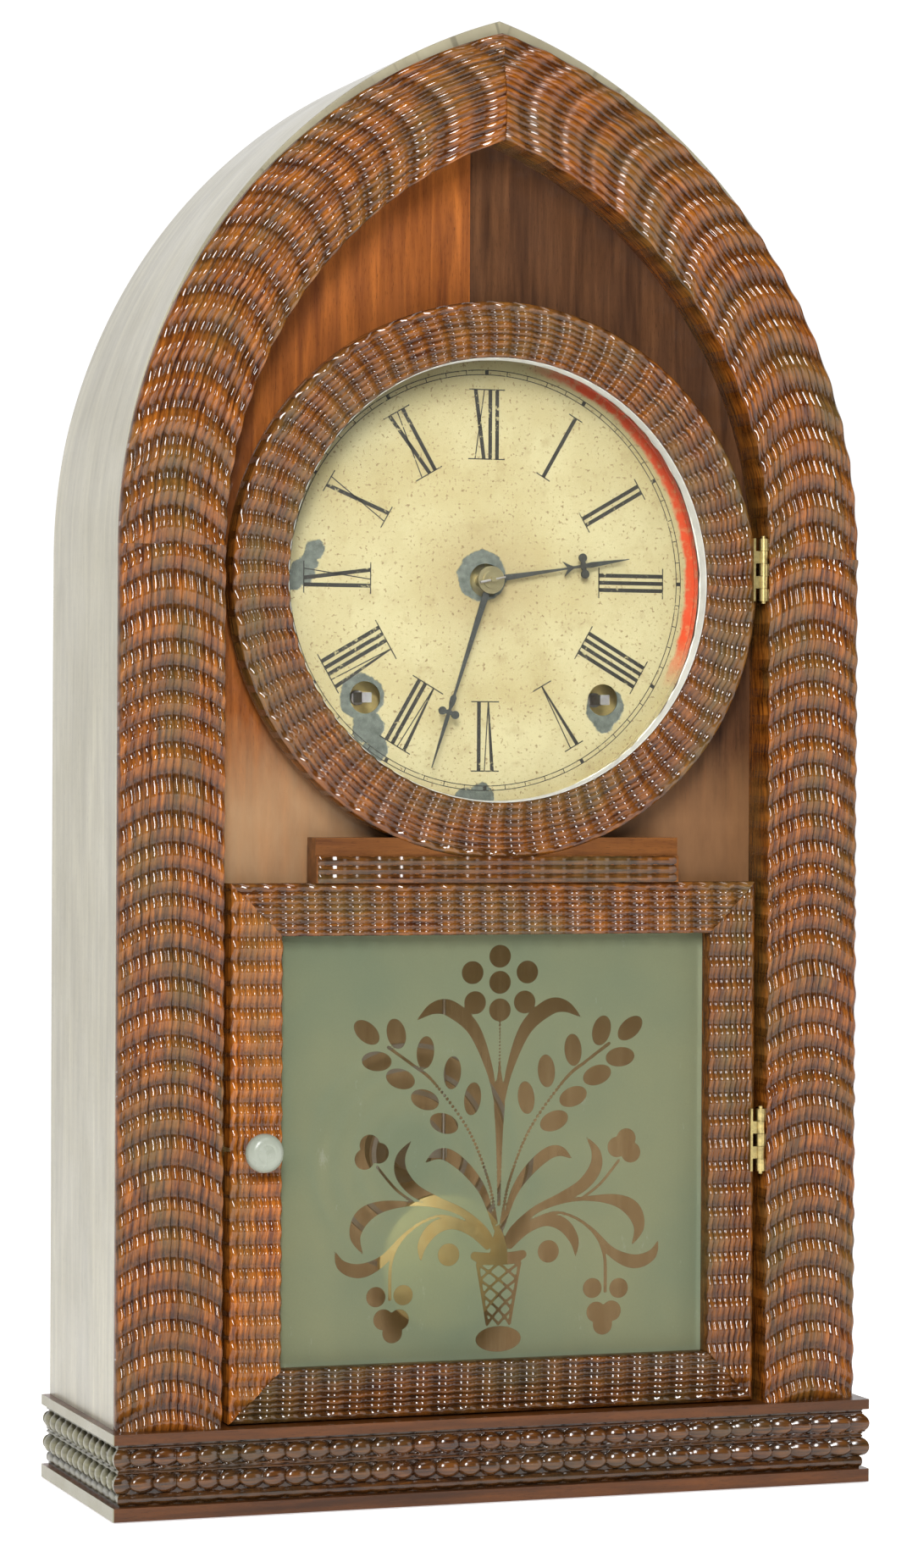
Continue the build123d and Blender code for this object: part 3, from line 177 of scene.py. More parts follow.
# ---------------- materials
class Nodes:
    """A short way to write a node tree."""

    def __init__(self, name, material=None):
        self.material = material or bpy.data.materials.new(name)
        self.material.use_nodes = True
        self.tree = self.material.node_tree
        self.shader = self.tree.nodes["Principled BSDF"]

    def add(self, kind, values=None, **props):
        """A node with its properties and sockets set. A socket's value that is an output is linked."""
        node = self.tree.nodes.new(kind)
        for key, value in props.items():
            setattr(node, key, value)
        for key, value in (values or {}).items():
            self.feed(node.inputs[key], value)
        return node

    def feed(self, socket, value):
        """Link an output to a socket, or set the socket to a constant."""
        if hasattr(value, "is_output"):
            self.tree.links.new(value, socket)
        else:
            socket.default_value = value

    def set(self, **values):
        """Feed the shader's own sockets. Their names are written with _ for a space."""
        for key, value in values.items():
            self.feed(self.shader.inputs[key.replace("_", " ")], value)

    def coords(self, kind="Object", scale=(1, 1, 1), spot=(0, 0, 0)):
        """An object's own coordinates in metres, or its UV ones, stretched and moved."""
        source = self.add("ShaderNodeTexCoord").outputs[kind]
        values = {"Vector": source, "Scale": scale, "Location": spot}
        return self.add("ShaderNodeMapping", values).outputs[0]

    def noise(self, vector, scale, detail=4.0, rough=0.55, distort=0.0):
        values = {"Vector": vector, "Scale": scale, "Detail": detail, "Roughness": rough}
        return self.add("ShaderNodeTexNoise", {**values, "Distortion": distort}).outputs["Fac"]

    def ramp(self, factor, stops):
        """A colour ramp. A stop's colour may be one number for a grey."""
        node = self.add("ShaderNodeValToRGB", {"Fac": factor})
        elements = node.color_ramp.elements
        while len(elements) < len(stops):
            elements.new(0.5)
        for element, (place, colour) in zip(elements, stops):
            element.position = place
            if isinstance(colour, (int, float)):
                colour = (colour, colour, colour)
            element.color = (*colour, 1)
        return node.outputs["Color"]

    def mix(self, factor, a, b):
        """Colour a faded into colour b as the factor goes from 0 to 1."""
        a, b = (colour if hasattr(colour, "is_output") else (*colour, 1) for colour in (a, b))
        return self.add("ShaderNodeMix", {0: factor, 6: a, 7: b}, data_type="RGBA").outputs[2]

    def math(self, operation, a, b=None, c=None, clamp=False):
        values = {index: value for index, value in enumerate((a, b, c)) if value is not None}
        return self.add("ShaderNodeMath", values, operation=operation, use_clamp=clamp).outputs[0]

    def part(self, letter):
        """One of an object's own coordinates, in mm."""
        scale = [1 / MM if axis == letter else 1 for axis in "XYZ"]
        place = {"Vector": self.coords("Object", scale)}
        return self.add("ShaderNodeSeparateXYZ", place).outputs[letter]

    def away(self, x, z):
        """Distance in mm from a line that runs front to back through (x, z)."""
        place = self.add("ShaderNodeTexCoord").outputs["Object"]
        flat = self.add("ShaderNodeVectorMath", {0: place, 1: (1 / MM, 0, 1 / MM)}, operation="MULTIPLY")
        gap = self.add("ShaderNodeVectorMath", {0: flat.outputs[0], 1: (x, 0, z)}, operation="DISTANCE")
        return gap.outputs["Value"]

    def below(self, value, limit, soft):
        """1 where a value is under a limit, fading to 0 over a soft edge."""
        return self.math("MULTIPLY_ADD", value, -1 / soft, limit / soft + 0.5, clamp=True)

    def field(self, name):
        """The value that a mesh carries for each of its points."""
        return self.add("ShaderNodeAttribute", attribute_name=name).outputs["Fac"]

    def bump(self, height, strength, distance):
        values = {"Height": height, "Strength": strength, "Distance": distance}
        self.set(Normal=self.add("ShaderNodeBump", values).outputs[0])


def halfway(a, b):
    return [(x + y) / 2 for x, y in zip(a, b)]


def darker(colour, share):
    return [c * share for c in colour]


def ripple_wood(name, light, dark, haze, seed, gloss=0.24):
    """Rippled rosewood: grain along the strip, dirt and painted shade in the grooves and wave hollows, polish
    on the crests.
    """
    n = Nodes(name)
    shift = (seed * 1.7, seed * 3.1, 0)
    streaks = n.noise(n.coords("UV", (14, 1.3, 1), shift), 6.0, 6.0, 0.62, 0.3)
    patches = n.noise(n.coords("UV", (2.2, 0.8, 1), shift), 3.0, 3.0, 0.5)
    specks = n.noise(n.coords(spot=shift), 900.0, 3.0, 0.7)
    grain = n.ramp(streaks, [(0.36, dark), (0.51, halfway(light, dark)), (0.64, light)])
    aged = n.mix(n.ramp(patches, [(0.42, 0.0), (0.68, 0.55)]), grain, haze)
    groove = n.field("groove")
    # Darker where the groove value is high: dirt, and painted shade in the hollows between ridges and waves
    # and on the walls.
    dirt_and_shade = n.math("MULTIPLY", groove, n.ramp(specks, [(0.35, 0.55), (0.65, 1.0)]))
    n.set(Base_Color=n.mix(n.math("MULTIPLY", dirt_and_shade, 0.9), aged, darker(dark, 0.2)))
    dull = n.math("ADD", specks, n.math("MULTIPLY", groove, 0.35))
    n.set(Roughness=n.ramp(dull, [(0.35, gloss), (0.85, gloss + 0.34)]))
    n.set(Specular_IOR_Level=0.0, Coat_Weight=1.0, Coat_Roughness=0.11, Coat_IOR=1.5)
    grit = n.noise(n.coords(spot=shift), 2600.0, 2.0, 0.6)
    fine = n.math("ADD", n.math("MULTIPLY", specks, 0.35), n.math("MULTIPLY", grit, 0.22))
    n.bump(n.math("ADD", streaks, fine), 0.42, 0.0004)
    return n.material


def flat_wood(name, light, dark, along, seed, gloss=0.3, figure=1.0, coat=0.25):
    """A veneered or plain board. The grain runs along x or z, or along v of the UV coordinates."""
    n = Nodes(name)
    stretch = {"x": (1, 14, 14), "z": (14, 14, 1), "uv": (1.4, 0.1, 1)}[along]
    kind = "UV" if along == "uv" else "Object"
    shift = (seed * 0.37, seed * 0.61, seed * 0.53)
    vector = n.coords(kind, stretch, shift)
    streaks = n.noise(vector, 22.0, 8.0, 0.6, 0.25 * figure)
    bands = n.noise(vector, 5.0, 4.0, 0.55, 1.2 * figure)
    pores = n.noise(n.coords(kind, [s * 6 for s in stretch], shift), 60.0, 2.0, 0.5)
    grain = n.math("ADD", n.math("MULTIPLY", streaks, 0.6), n.math("MULTIPLY", bands, 0.45))
    colour = n.ramp(grain, [(0.38, dark), (0.55, halfway(light, dark)), (0.68, light)])
    colour = n.mix(n.ramp(pores, [(0.60, 0.0), (0.70, 0.5)]), colour, darker(dark, 0.3))
    n.set(Base_Color=colour)
    smears = n.noise(n.coords(spot=shift), 35.0, 4.0, 0.6)
    n.set(Roughness=n.ramp(smears, [(0.35, gloss), (0.7, gloss + 0.18)]))
    n.set(Specular_IOR_Level=0.15, Coat_Weight=coat, Coat_Roughness=0.12)
    n.bump(n.math("ADD", streaks, pores), 0.12, 0.0003)
    return n.material


def paint_end_reflection(material, colour, edge):
    """Paint the end faces of a slab pale, those beyond edge mm from the middle: a painted reflection of the
    bright surroundings at a grazing angle.
    """
    n = Nodes(material.name, material)
    base = n.shader.inputs["Base Color"].links[0].from_socket
    across = n.part("X")
    outside = n.math("GREATER_THAN", n.math("ABSOLUTE", across), edge)
    n.set(Base_Color=n.mix(outside, base, colour))


def pale_foot(material, colour, top, bottom):
    """Lighten veneer towards its lower end, most below bottom and not at all above top, both mm up."""
    n = Nodes(material.name, material)
    base = n.shader.inputs["Base Color"].links[0].from_socket
    height = n.part("Z")
    patchy = n.noise(n.coords("Object", (3, 1, 1)), 40.0, 4.0, 0.6)
    lower = n.below(height, (top + bottom) / 2, top - bottom)
    share = n.math("ADD", lower, n.math("SUBTRACT", patchy, 0.5))
    # Lighter by height towards the lower end of the panel.
    worn = n.math("MULTIPLY", n.below(height, top, 4.0), n.math("MULTIPLY", share, 0.75, clamp=True))
    n.set(Base_Color=n.mix(worn, base, colour))


def metal(name, colour, dark, rough, seed, tarnish_scale=90.0, grain=300.0):
    """Metal with tarnish and handling marks."""
    n = Nodes(name)
    shift = (seed, seed * 2, seed * 3)
    tarnish = n.noise(n.coords(spot=shift), tarnish_scale, 6.0, 0.65)
    marks = n.noise(n.coords(spot=shift), grain, 4.0, 0.6)
    n.set(Base_Color=n.mix(n.ramp(tarnish, [(0.42, 0.0), (0.72, 0.85)]), colour, dark))
    dull = n.math("ADD", n.math("MULTIPLY", tarnish, 0.6), n.math("MULTIPLY", marks, 0.4))
    n.set(Metallic=1.0, Roughness=n.ramp(dull, [(0.35, rough), (0.7, rough + 0.25)]))
    n.bump(marks, 0.25, 0.00015)
    return n.material


def plain(name, colour, rough, seed, spots=80.0, depth=0.0002):
    """A painted, glazed or puttied surface with slight unevenness."""
    n = Nodes(name)
    uneven = n.noise(n.coords(spot=(seed, seed, seed)), spots, 5.0, 0.6)
    n.set(Base_Color=n.mix(n.ramp(uneven, [(0.35, 0.0), (0.75, 1.0)]), colour, darker(colour, 0.7)))
    n.set(Roughness=n.ramp(uneven, [(0.3, rough), (0.7, min(rough + 0.2, 1.0))]))
    n.bump(uneven, 0.4, depth)
    return n.material


wood_mouldings = ripple_wood("rippled rosewood mouldings", (0.34, 0.105, 0.012), (0.062, 0.014, 0.003),
                             (0.10, 0.078, 0.022), 1.0)
wood_ring = ripple_wood("rippled rosewood ring", (0.27, 0.088, 0.012), (0.06, 0.016, 0.004),
                        (0.12, 0.092, 0.03), 2.0)
# A lighter copy of the door's rosewood for the left stile: painted light, where that stile catches more
# light.
wood_stile_painted_light = ripple_wood("rippled rosewood with painted light", (0.50, 0.150, 0.016), (0.12, 0.028, 0.004),
                         (0.17, 0.095, 0.024), 2.5)
# A darker copy of the door's rosewood for the bottom rail and the neck strip: painted shade.
wood_rail_painted_shade = ripple_wood("rippled rosewood with painted shade", (0.18, 0.060, 0.009), (0.04, 0.012, 0.003),
                        (0.075, 0.058, 0.019), 3.5)
wood_base = ripple_wood("rippled rosewood base", (0.15, 0.052, 0.009), (0.03, 0.010, 0.003),
                        (0.06, 0.045, 0.016), 3.0)
# The base's sides are the same rippled rosewood painted pale grey-beige: a painted reflection of the bright
# surroundings at a grazing angle.
wood_side_painted_reflection = ripple_wood("rippled base sides with painted reflection", (0.23, 0.215, 0.125), (0.11, 0.10, 0.06),
                        (0.18, 0.17, 0.105), 3.2)
# The case sides are painted pale grey-beige over their grain: a painted reflection of the bright surroundings
# at a grazing angle.
veneer_case_painted_reflection = flat_wood("case veneer with painted reflection", (0.40, 0.365, 0.25), (0.23, 0.205, 0.135), "uv", 4.0, coat=0.8)
veneer_slab = flat_wood("slab veneer", (0.145, 0.046, 0.009), (0.045, 0.016, 0.005), "x", 5.0, 0.26, coat=0.4)
veneer_left = flat_wood("left panel veneer", (0.37, 0.113, 0.020), (0.125, 0.034, 0.008), "z", 6.0,
                        figure=2.0)
# The right panel is the left panel's veneer painted darker: painted shade, as its book-matched half catches
# less light.
veneer_right_painted_shade = flat_wood("right panel veneer with painted shade", (0.125, 0.052, 0.020), (0.035, 0.014, 0.006), "z", 7.0,
                         figure=2.0)
neck_wood = flat_wood("neck wood", (0.22, 0.08, 0.018), (0.07, 0.022, 0.006), "x", 8.0)
pale_foot(veneer_left, (0.37, 0.23, 0.12), 258.0, 228.0)
pale_foot(veneer_right_painted_shade, (0.24, 0.120, 0.052), 250.0, 222.0)
slab_end_depth = 0.25
# The pale ends of the slabs are a painted reflection.
paint_end_reflection(veneer_slab, (0.235, 0.215, 0.14), base_half - slab_end_depth)
varnishes = ((veneer_case_painted_reflection, 1.6, 0.28), (veneer_slab, 1.5, 0.2), (wood_base, 1.6, 0.17), (wood_side_painted_reflection, 1.5, 0.3))
for varnished, index, rough in varnishes:
    Nodes(varnished.name, varnished).set(Coat_IOR=index, Coat_Roughness=rough)
pine = flat_wood("pine", (0.52, 0.36, 0.2), (0.33, 0.2, 0.1), "z", 9.0, gloss=0.6, coat=0.0)
brass = metal("hinge brass", (0.66, 0.53, 0.22), (0.20, 0.15, 0.07), 0.26, 1.0, 420.0, 900.0)
wheel_brass = metal("wheel brass", (0.88, 0.70, 0.30), (0.55, 0.42, 0.17), 0.4, 2.0)
steel = metal("steel", (0.42, 0.41, 0.40), (0.20, 0.15, 0.11), 0.35, 3.0)
iron = metal("cast iron", (0.07, 0.07, 0.07), (0.10, 0.06, 0.04), 0.6, 4.0)
blued = metal("blued steel", (0.085, 0.09, 0.085), (0.05, 0.045, 0.035), 0.42, 5.0)
# Dull brass for the collet. The hour wheel, minute wheel and centre arbor take it too, painted dark as shade
# inside the dial's centre hole.
dull_brass_and_painted_shade = metal("collet brass and painted hub shade", (0.40, 0.35, 0.20), (0.20, 0.17, 0.10), 0.3, 6.0)
bob_brass = metal("bob brass", (0.98, 0.80, 0.36), (0.80, 0.58, 0.22), 0.42, 7.0)
putty = plain("putty", (0.64, 0.63, 0.56), 0.7, 1.0)
porcelain = plain("porcelain", (0.33, 0.355, 0.29), 0.16, 2.0, 40.0, 0.00005)


# ---------------- rippled strips
def crest(t):
    """A rounded crest with a narrow valley, from 0 to 1, once for each unit of t."""
    return np.abs(np.sin(np.pi * t)) ** 0.95


def ripple(t, seed, unevenness):
    """Waves along a strip: one per unit of t, each of its own height, with sharper crests than hollows."""
    uneven = 1 + unevenness * wobble(np.floor(t + 0.5) * 7.3, seed, 5.0)
    return (0.5 + 0.5 * np.cos(2 * np.pi * t)) ** 1.25 * uneven


moulding_pitch = 2.45
moulding_wave = 9.0
arch_wave = 11.8
moulding_ridge = 0.62
moulding_depth = 1.25
moulding_frown = 6.5
arch_frown = 9.0
moulding_bow = 1.5
moulding_edge_out = -40.3
moulding_edge_in = -44.0
moulding_columns = 150
arch_rows = 460
upright_rows = 470


def moulding_surface(u, s, seed, frown, wave):
    """Height towards -Y of a moulding at u from its outer edge and s along it, and its groove depth."""
    share = u / moulding_width
    base = -moulding_edge_out + (moulding_edge_out - moulding_edge_in) * share
    base = base + moulding_bow * np.sin(np.pi * share)
    ridges = 0.92 * crest(u / moulding_pitch) + 0.08 * crest(2 * u / moulding_pitch)
    along = s - frown * np.sin(np.pi * share) ** 0.85
    drift = 0.45 * wobble(along, seed + 5, 3.4 * wave)
    waves = ripple(along / wave + drift, seed, 0.22)
    height = base + moulding_ridge * (ridges - 0.8) + moulding_depth * (waves - 0.6)
    # The groove value darkens the wood: painted shade in the valleys and wave hollows, with dirt.
    groove = np.clip(1.0 - 1.5 * ridges, 0, 1) * 0.5 + np.clip(0.5 - waves, 0, 1) * 1.7
    return height, np.clip(groove, 0, 1)


def moulding(side, upper, name, node, seed):
    """One front moulding: an upper one follows the arch, a lower one is upright. Side is -1 on the left."""
    u = np.linspace(0, moulding_width, moulding_columns)[None, :]
    straight = spring_z - base_top
    if upper:
        t = np.linspace(0, 1, arch_rows)[:, None]
        radius = moulding_radius - u
        angle = t * np.arccos(np.clip(moulding_offset / radius, -1, 1))
        s = angle * (moulding_radius - moulding_width / 2) + straight
        x = side * (radius * np.cos(angle) - moulding_offset)
        z = spring_z + radius * np.sin(angle)
    else:
        s = np.linspace(0, straight, upright_rows)[:, None] + 0 * u
        x = side * (half_width - u) + 0 * s
        z = base_top + s
    u = u + 0 * s
    frown, wave = (arch_frown, arch_wave) if upper else (moulding_frown, moulding_wave)
    height, groove = moulding_surface(u, s, seed, frown, wave)
    front = np.stack([x, -height, z], -1)
    rear_out = moved_back(front[:, :1], shell_front)
    rear_in = moved_back(front[:, -1:], high(node)[1])
    uv = np.stack([np.concatenate([u[:, :1] - 3, u, u[:, -1:] + 14], 1),
                   np.concatenate([s[:, :1], s, s[:, -1:]], 1)], -1)
    uv[..., 0] += 50 * seed
    grid_object(name, np.concatenate([rear_out, front, rear_in], 1), "case", wood_mouldings, caps=True,
                fields={"groove": padded(groove, 0.6)}, uv=uv, stands_for=(node,), sharp=60)


moulding(-1, False, "rippled_lower_left_moulding", "lower_left_moulding", 1)
moulding(1, False, "rippled_lower_right_moulding", "lower_right_moulding", 2)
moulding(-1, True, "rippled_upper_left_moulding", "upper_left_moulding", 3)
moulding(1, True, "rippled_upper_right_moulding", "upper_right_moulding", 4)

# ---------------- case sides
shell_thick = 6.0
front_arris = (0.25, 0.3)
back_arris = (0.4, 0.4)
shell_bulge = 0.25
long_sides = (1, 4)
long_side_parts = 24


def case_side(side, name, node):
    """A bent side: a closed section swept up the straight part and round the arc to the point."""
    profile = [(front_arris[0], shell_front), (0.0, shell_front + front_arris[1]),
               (0.0, shell_back - back_arris[1]), (back_arris[0], shell_back),
               (shell_thick, shell_back), (shell_thick, shell_front)]
    dense = []
    for k, (a, b) in enumerate(zip(profile, profile[1:] + profile[:1])):
        parts = long_side_parts if k in long_sides else 1
        dense += [(a[0] + (b[0] - a[0]) * j / parts, a[1] + (b[1] - a[1]) * j / parts) for j in range(parts)]
    u, y = np.array(dense).T[:, None, :]
    straight = np.linspace(0, spring_z - base_top, 40)[:-1, None]
    x_low = side * (half_width - u) + 0 * straight
    z_low = base_top + straight + 0 * u
    t = np.linspace(0, 1, 90)[:, None]
    radius = shell_radius - u
    angle = t * np.arccos(shell_offset / radius)
    x_up = side * (radius * np.cos(angle) - shell_offset)
    z_up = spring_z + radius * np.sin(angle)
    x = np.concatenate([x_low, x_up])
    z = np.concatenate([z_low, z_up])
    s = np.concatenate([straight + 0 * u, spring_z - base_top + shell_radius * angle])
    y = y + 0 * x
    bulge = shell_bulge * wobble(s, 40 + side, 60.0) * np.clip((y - shell_front) / 20, 0, 1)
    x = x - side * np.abs(bulge) * (u < 1)
    uv = np.stack([y + 60 * side, s], -1)
    grid_object(name, np.stack([x, y, z], -1), "case", veneer_case_painted_reflection, caps=True, uv=uv, stands_for=(node,))


case_side(-1, "veneered_left_side", "left_case_side")
case_side(1, "veneered_right_side", "right_case_side")


# ---------------- base friezes
bead_wave = 7.5
frieze_depth = 2.9
frieze_rear = 8.0
frieze_columns = 84
front_steps = 560
side_steps = 210
large_relief = 2.6
small_relief = 0.85
least_relief = 0.25
most_relief = 2.88
corner_fade = 3.0
rows_tall = 20.1
large_rows = ((7.3, 3.1), (15.3, 3.0))
small_rows = ((2.3, 1.7), (10.9, 0.6), (12.1, 0.6), (18.7, 0.6), (19.8, 0.6))


def round_row(v, centre, half, pinch):
    """A half-round reed at a height, from 0 to 1, cut into domes where pinch rises towards 1."""
    return np.sqrt(np.clip(1 - ((v - centre) / half) ** 2 - pinch, 0, 1))


def frieze_rows(z, f):
    """How far the large and the small rows stand out at each height. f is -0.5 to 0.5 across a bead.
    A row is given by the height of its middle and by half its own height, on a scale of rows_tall."""
    v = (z - slab_low) / (slab_high - slab_low) * rows_tall
    large = sum(round_row(v, centre, half, 0.82 * (2 * f) ** 2) for centre, half in large_rows)
    small = sum(round_row(v, centre, half, 0.5 * (2 * f) ** 2) for centre, half in small_rows)
    return large, small


def frieze(kind, name, node, seed):
    """Rows of beads and reeds along the front or one side of the base, mitred at the front corners."""
    rows_z = np.linspace(slab_low, slab_high, frieze_columns)[None, :]
    if kind == "front":
        length, steps = 2 * base_half, front_steps
    else:
        length, steps = base_back - base_front, side_steps
    t = np.linspace(0, 1, steps)[:, None]
    s = t * length + 0 * rows_z
    place = s / bead_wave + 0.12 * wobble(s, seed, 20.0)
    near_corner = np.minimum(s, length - s) if kind == "front" else s
    f = (place - np.floor(place + 0.5)) * np.clip(near_corner / corner_fade, 0, 1)
    large, small = frieze_rows(rows_z, f)
    out = np.clip(large_relief * large + small_relief * small + least_relief, 0, most_relief)
    # The groove value darkens the wood between the beads: painted shade, with dirt.
    groove = np.clip(1.1 - 1.25 * large - 0.7 * small, 0, 1)
    inset = frieze_depth - out
    if kind == "front":
        reach = base_half - inset
        x = -reach + 2 * reach * t
        front = np.stack([x, base_front + inset, rows_z + 0 * x], -1)
        rear = np.stack([frieze_rear * (1 - 2 * t), frieze_rear + 0 * t, 0 * t], -1)
    else:
        side = -1 if kind == "left" else 1
        start = base_front + inset
        y = start + (base_back - start) * t
        front = np.stack([side * (base_half - inset), y, rows_z + 0 * y], -1)
        rear = np.stack([-side * frieze_rear + 0 * t, frieze_rear * (1 - t), 0 * t], -1)
    points = np.concatenate([front[:, :1] + rear, front, front[:, -1:] + rear], 1)
    uv = np.stack([rows_z + 0 * s, s], -1)
    uv = np.concatenate([uv[:, :1], uv, uv[:, -1:]], 1) + 30 * seed
    # The sides take the pale material with the painted reflection.
    material = wood_base if kind == "front" else wood_side_painted_reflection
    grid_object(name, points, "case", material, caps=True, fields={"groove": padded(groove, 0.8)}, uv=uv,
                stands_for=(node,), sharp=60)


frieze("front", "rippled_front_frieze", "base_front_frieze", 11)
frieze("left", "rippled_left_frieze", "base_left_frieze", 12)
frieze("right", "rippled_right_frieze", "base_right_frieze", 13)

# ---------------- door ring and frame
door_edge = -40.4
door_lip = -42.3
door_bow = 0.5
strip_bead = 2.6
strip_wave = 7.6
wave_start = 0.3
strip_unevenness = 0.12
ring_face = 18.5
ring_inner = ring_outer - ring_face
ring_waves = 68
ring_ridges = 8
ring_wave_depth = 1.5
ring_columns = 96
strip_ridges = 7
strip_wave_depth = 1.3
strip_columns = 90
ring_grain_radius = 82.0
glass_rebate = 2.0
steps_per_wave = 14


def strip_surface(u, width, t, seed, ridges_wanted, wave_depth):
    """Height towards -Y of a door strip at u from its outer edge, with t counting its waves."""
    share = u / width
    base = -door_edge + (door_edge - door_lip) * share + door_bow * np.sin(np.pi * share)
    pitch = (width - strip_bead) / ridges_wanted
    ridges = np.where(u < strip_bead, crest(u / strip_bead), crest((u - strip_bead) / pitch))
    waves = ripple(t, seed, strip_unevenness)
    reach = wave_depth * (0.15 + 0.85 * np.clip(u / 2.4, 0, 1))
    height = base + 0.5 * (ridges - 0.8) + reach * (waves - 0.7) + np.where(u < strip_bead, 0.15, 0.0)
    # The groove value darkens the wood: painted shade in the valleys and wave hollows, with dirt.
    groove = np.clip(1.0 - 1.5 * ridges, 0, 1) * 0.5 + np.clip(0.48 - waves, 0, 1) * 1.4
    return height, np.clip(groove, 0, 1)


def door_ring():
    """The round rippled part of the door, with a rebate behind for the glass."""
    width = ring_outer - ring_inner
    u = np.linspace(0, width, ring_columns)[None, :]
    angle = np.linspace(0, 2 * np.pi, ring_waves * steps_per_wave, endpoint=False)[:, None]
    t = angle / (2 * np.pi) * ring_waves + 0.125 * np.sin(np.pi * u / width)
    height, groove = strip_surface(u + 0 * angle, width, t, 21, ring_ridges, ring_wave_depth)
    radius = ring_outer - u
    front = np.stack([radius * np.cos(angle), -height, ring_z + radius * np.sin(angle)], -1)
    out_back = moved_back(front[:, :1], door_back)
    in_back = moved_back(front[:, -1:], low("bezel_glass")[1])
    rebate_front = in_back.copy()
    rebate_share = (ring_inner + glass_rebate) / ring_inner
    rebate_front[..., 0] *= rebate_share
    rebate_front[..., 2] = ring_z + (rebate_front[..., 2] - ring_z) * rebate_share
    rebate_back = moved_back(rebate_front, door_back)
    points = np.concatenate([out_back, front, in_back, rebate_front, rebate_back], 1)
    s = angle * ring_grain_radius
    uv = np.stack([u + 0 * s, s + 0 * u], -1)
    uv = np.concatenate([uv[:, :1] - 6, uv, uv[:, -1:] + 5, uv[:, -1:] + 7, uv[:, -1:] + 9], 1)
    grid_object("rippled_door_ring", points, "door", wood_ring, closed=True,
                fields={"groove": padded(groove, 0.5, after=3)}, uv=uv, stands_for=("door_ring",), sharp=60)


door_ring()
frame_mid = (frame_top + frame_bottom) / 2
frame_tall = (frame_top - frame_bottom) / 2
tablet_front = low("tablet_glass")[1]


def door_strip(name, node, upright, side, seed, material):
    """One mitred strip of the door's rectangular frame."""
    half_long, half_across = (frame_tall, frame_half) if upright else (frame_half, frame_tall)
    u = np.linspace(0, strip_width, strip_columns)[None, :]
    t = np.linspace(-1, 1, int(2 * half_long / strip_wave * steps_per_wave))[:, None]
    along = t * (half_long - u)
    waves_along = along / strip_wave + wave_start
    height, groove = strip_surface(u + 0 * along, strip_width, waves_along, seed, strip_ridges,
                                   strip_wave_depth)
    across = side * (half_across - u) + 0 * along
    if upright:
        front = np.stack([across, -height, frame_mid + along], -1)
    else:
        front = np.stack([along, -height, frame_mid + across], -1)
    out_back = moved_back(front[:, :1], door_back)
    in_back = moved_back(front[:, -1:], tablet_front)
    uv = np.stack([u + 0 * along, along + 0 * u], -1)
    uv = np.concatenate([uv[:, :1] - 5, uv, uv[:, -1:] + 4], 1) + 40 * seed
    grid_object(name, np.concatenate([out_back, front, in_back], 1), "door", material, caps=True,
                fields={"groove": padded(groove, 0.5)}, uv=uv, stands_for=(node,), sharp=60)


# The left stile takes the copy with painted light, and the bottom rail the one with painted shade.
door_strip("rippled_door_top_rail", "door_top_rail", False, 1, 31, wood_ring)
door_strip("rippled_door_bottom_rail", "door_bottom_rail", False, -1, 32, wood_rail_painted_shade)
door_strip("rippled_door_left_stile", "door_left_stile", True, -1, 33, wood_stile_painted_light)
door_strip("rippled_door_right_stile", "door_right_stile", True, 1, 34, wood_ring)


neck_strip_margin = 0.4
neck_strip_tall = 8.6
neck_strip_gap = 0.1
neck_strip_base = -41.55
neck_strip_ridges = 3
neck_strip_fade = 1.5
neck_face = -41.0


def neck_strip():
    """The rippled strip laid along the lower part of the neck."""
    left = low("door_neck")[0] + neck_strip_margin
    right = high("door_neck")[0] - neck_strip_margin
    top = frame_top + neck_strip_gap + neck_strip_tall
    u = np.linspace(0, neck_strip_tall, 40)[None, :]
    x = np.linspace(left, right, 240)[:, None]
    ridges = crest(u / neck_strip_tall * neck_strip_ridges)
    waves = ripple(x / strip_wave + wave_start, 35, strip_unevenness)
    ends = np.clip(np.minimum(x - left, right - x) / neck_strip_fade, 0, 1)
    height = -neck_strip_base + (0.35 * ridges + 0.65 * waves) * ends
    front = np.stack([x + 0 * u, -height, top - u + 0 * x], -1)
    back_top = moved_back(front[:, :1], neck_face)
    back_low = moved_back(front[:, -1:], neck_face)
    # The groove value darkens the wood: painted shade in the valleys and wave hollows, with dirt.
    groove = np.clip(1.0 - 1.5 * ridges, 0, 1) * 0.5 + np.clip(0.42 - waves, 0, 1) * 1.2
    uv = np.stack([u + 0 * x, x + 0 * u], -1)
    uv = np.concatenate([uv[:, :1] - 1, uv, uv[:, -1:] + 1], 1) + 90
    grid_object("rippled_neck_strip", np.concatenate([back_top, front, back_low], 1), "door", wood_rail_painted_shade,
                caps=True, fields={"groove": np.clip(padded(groove, 0.6), 0, 1)}, uv=uv, sharp=60)


neck_strip()

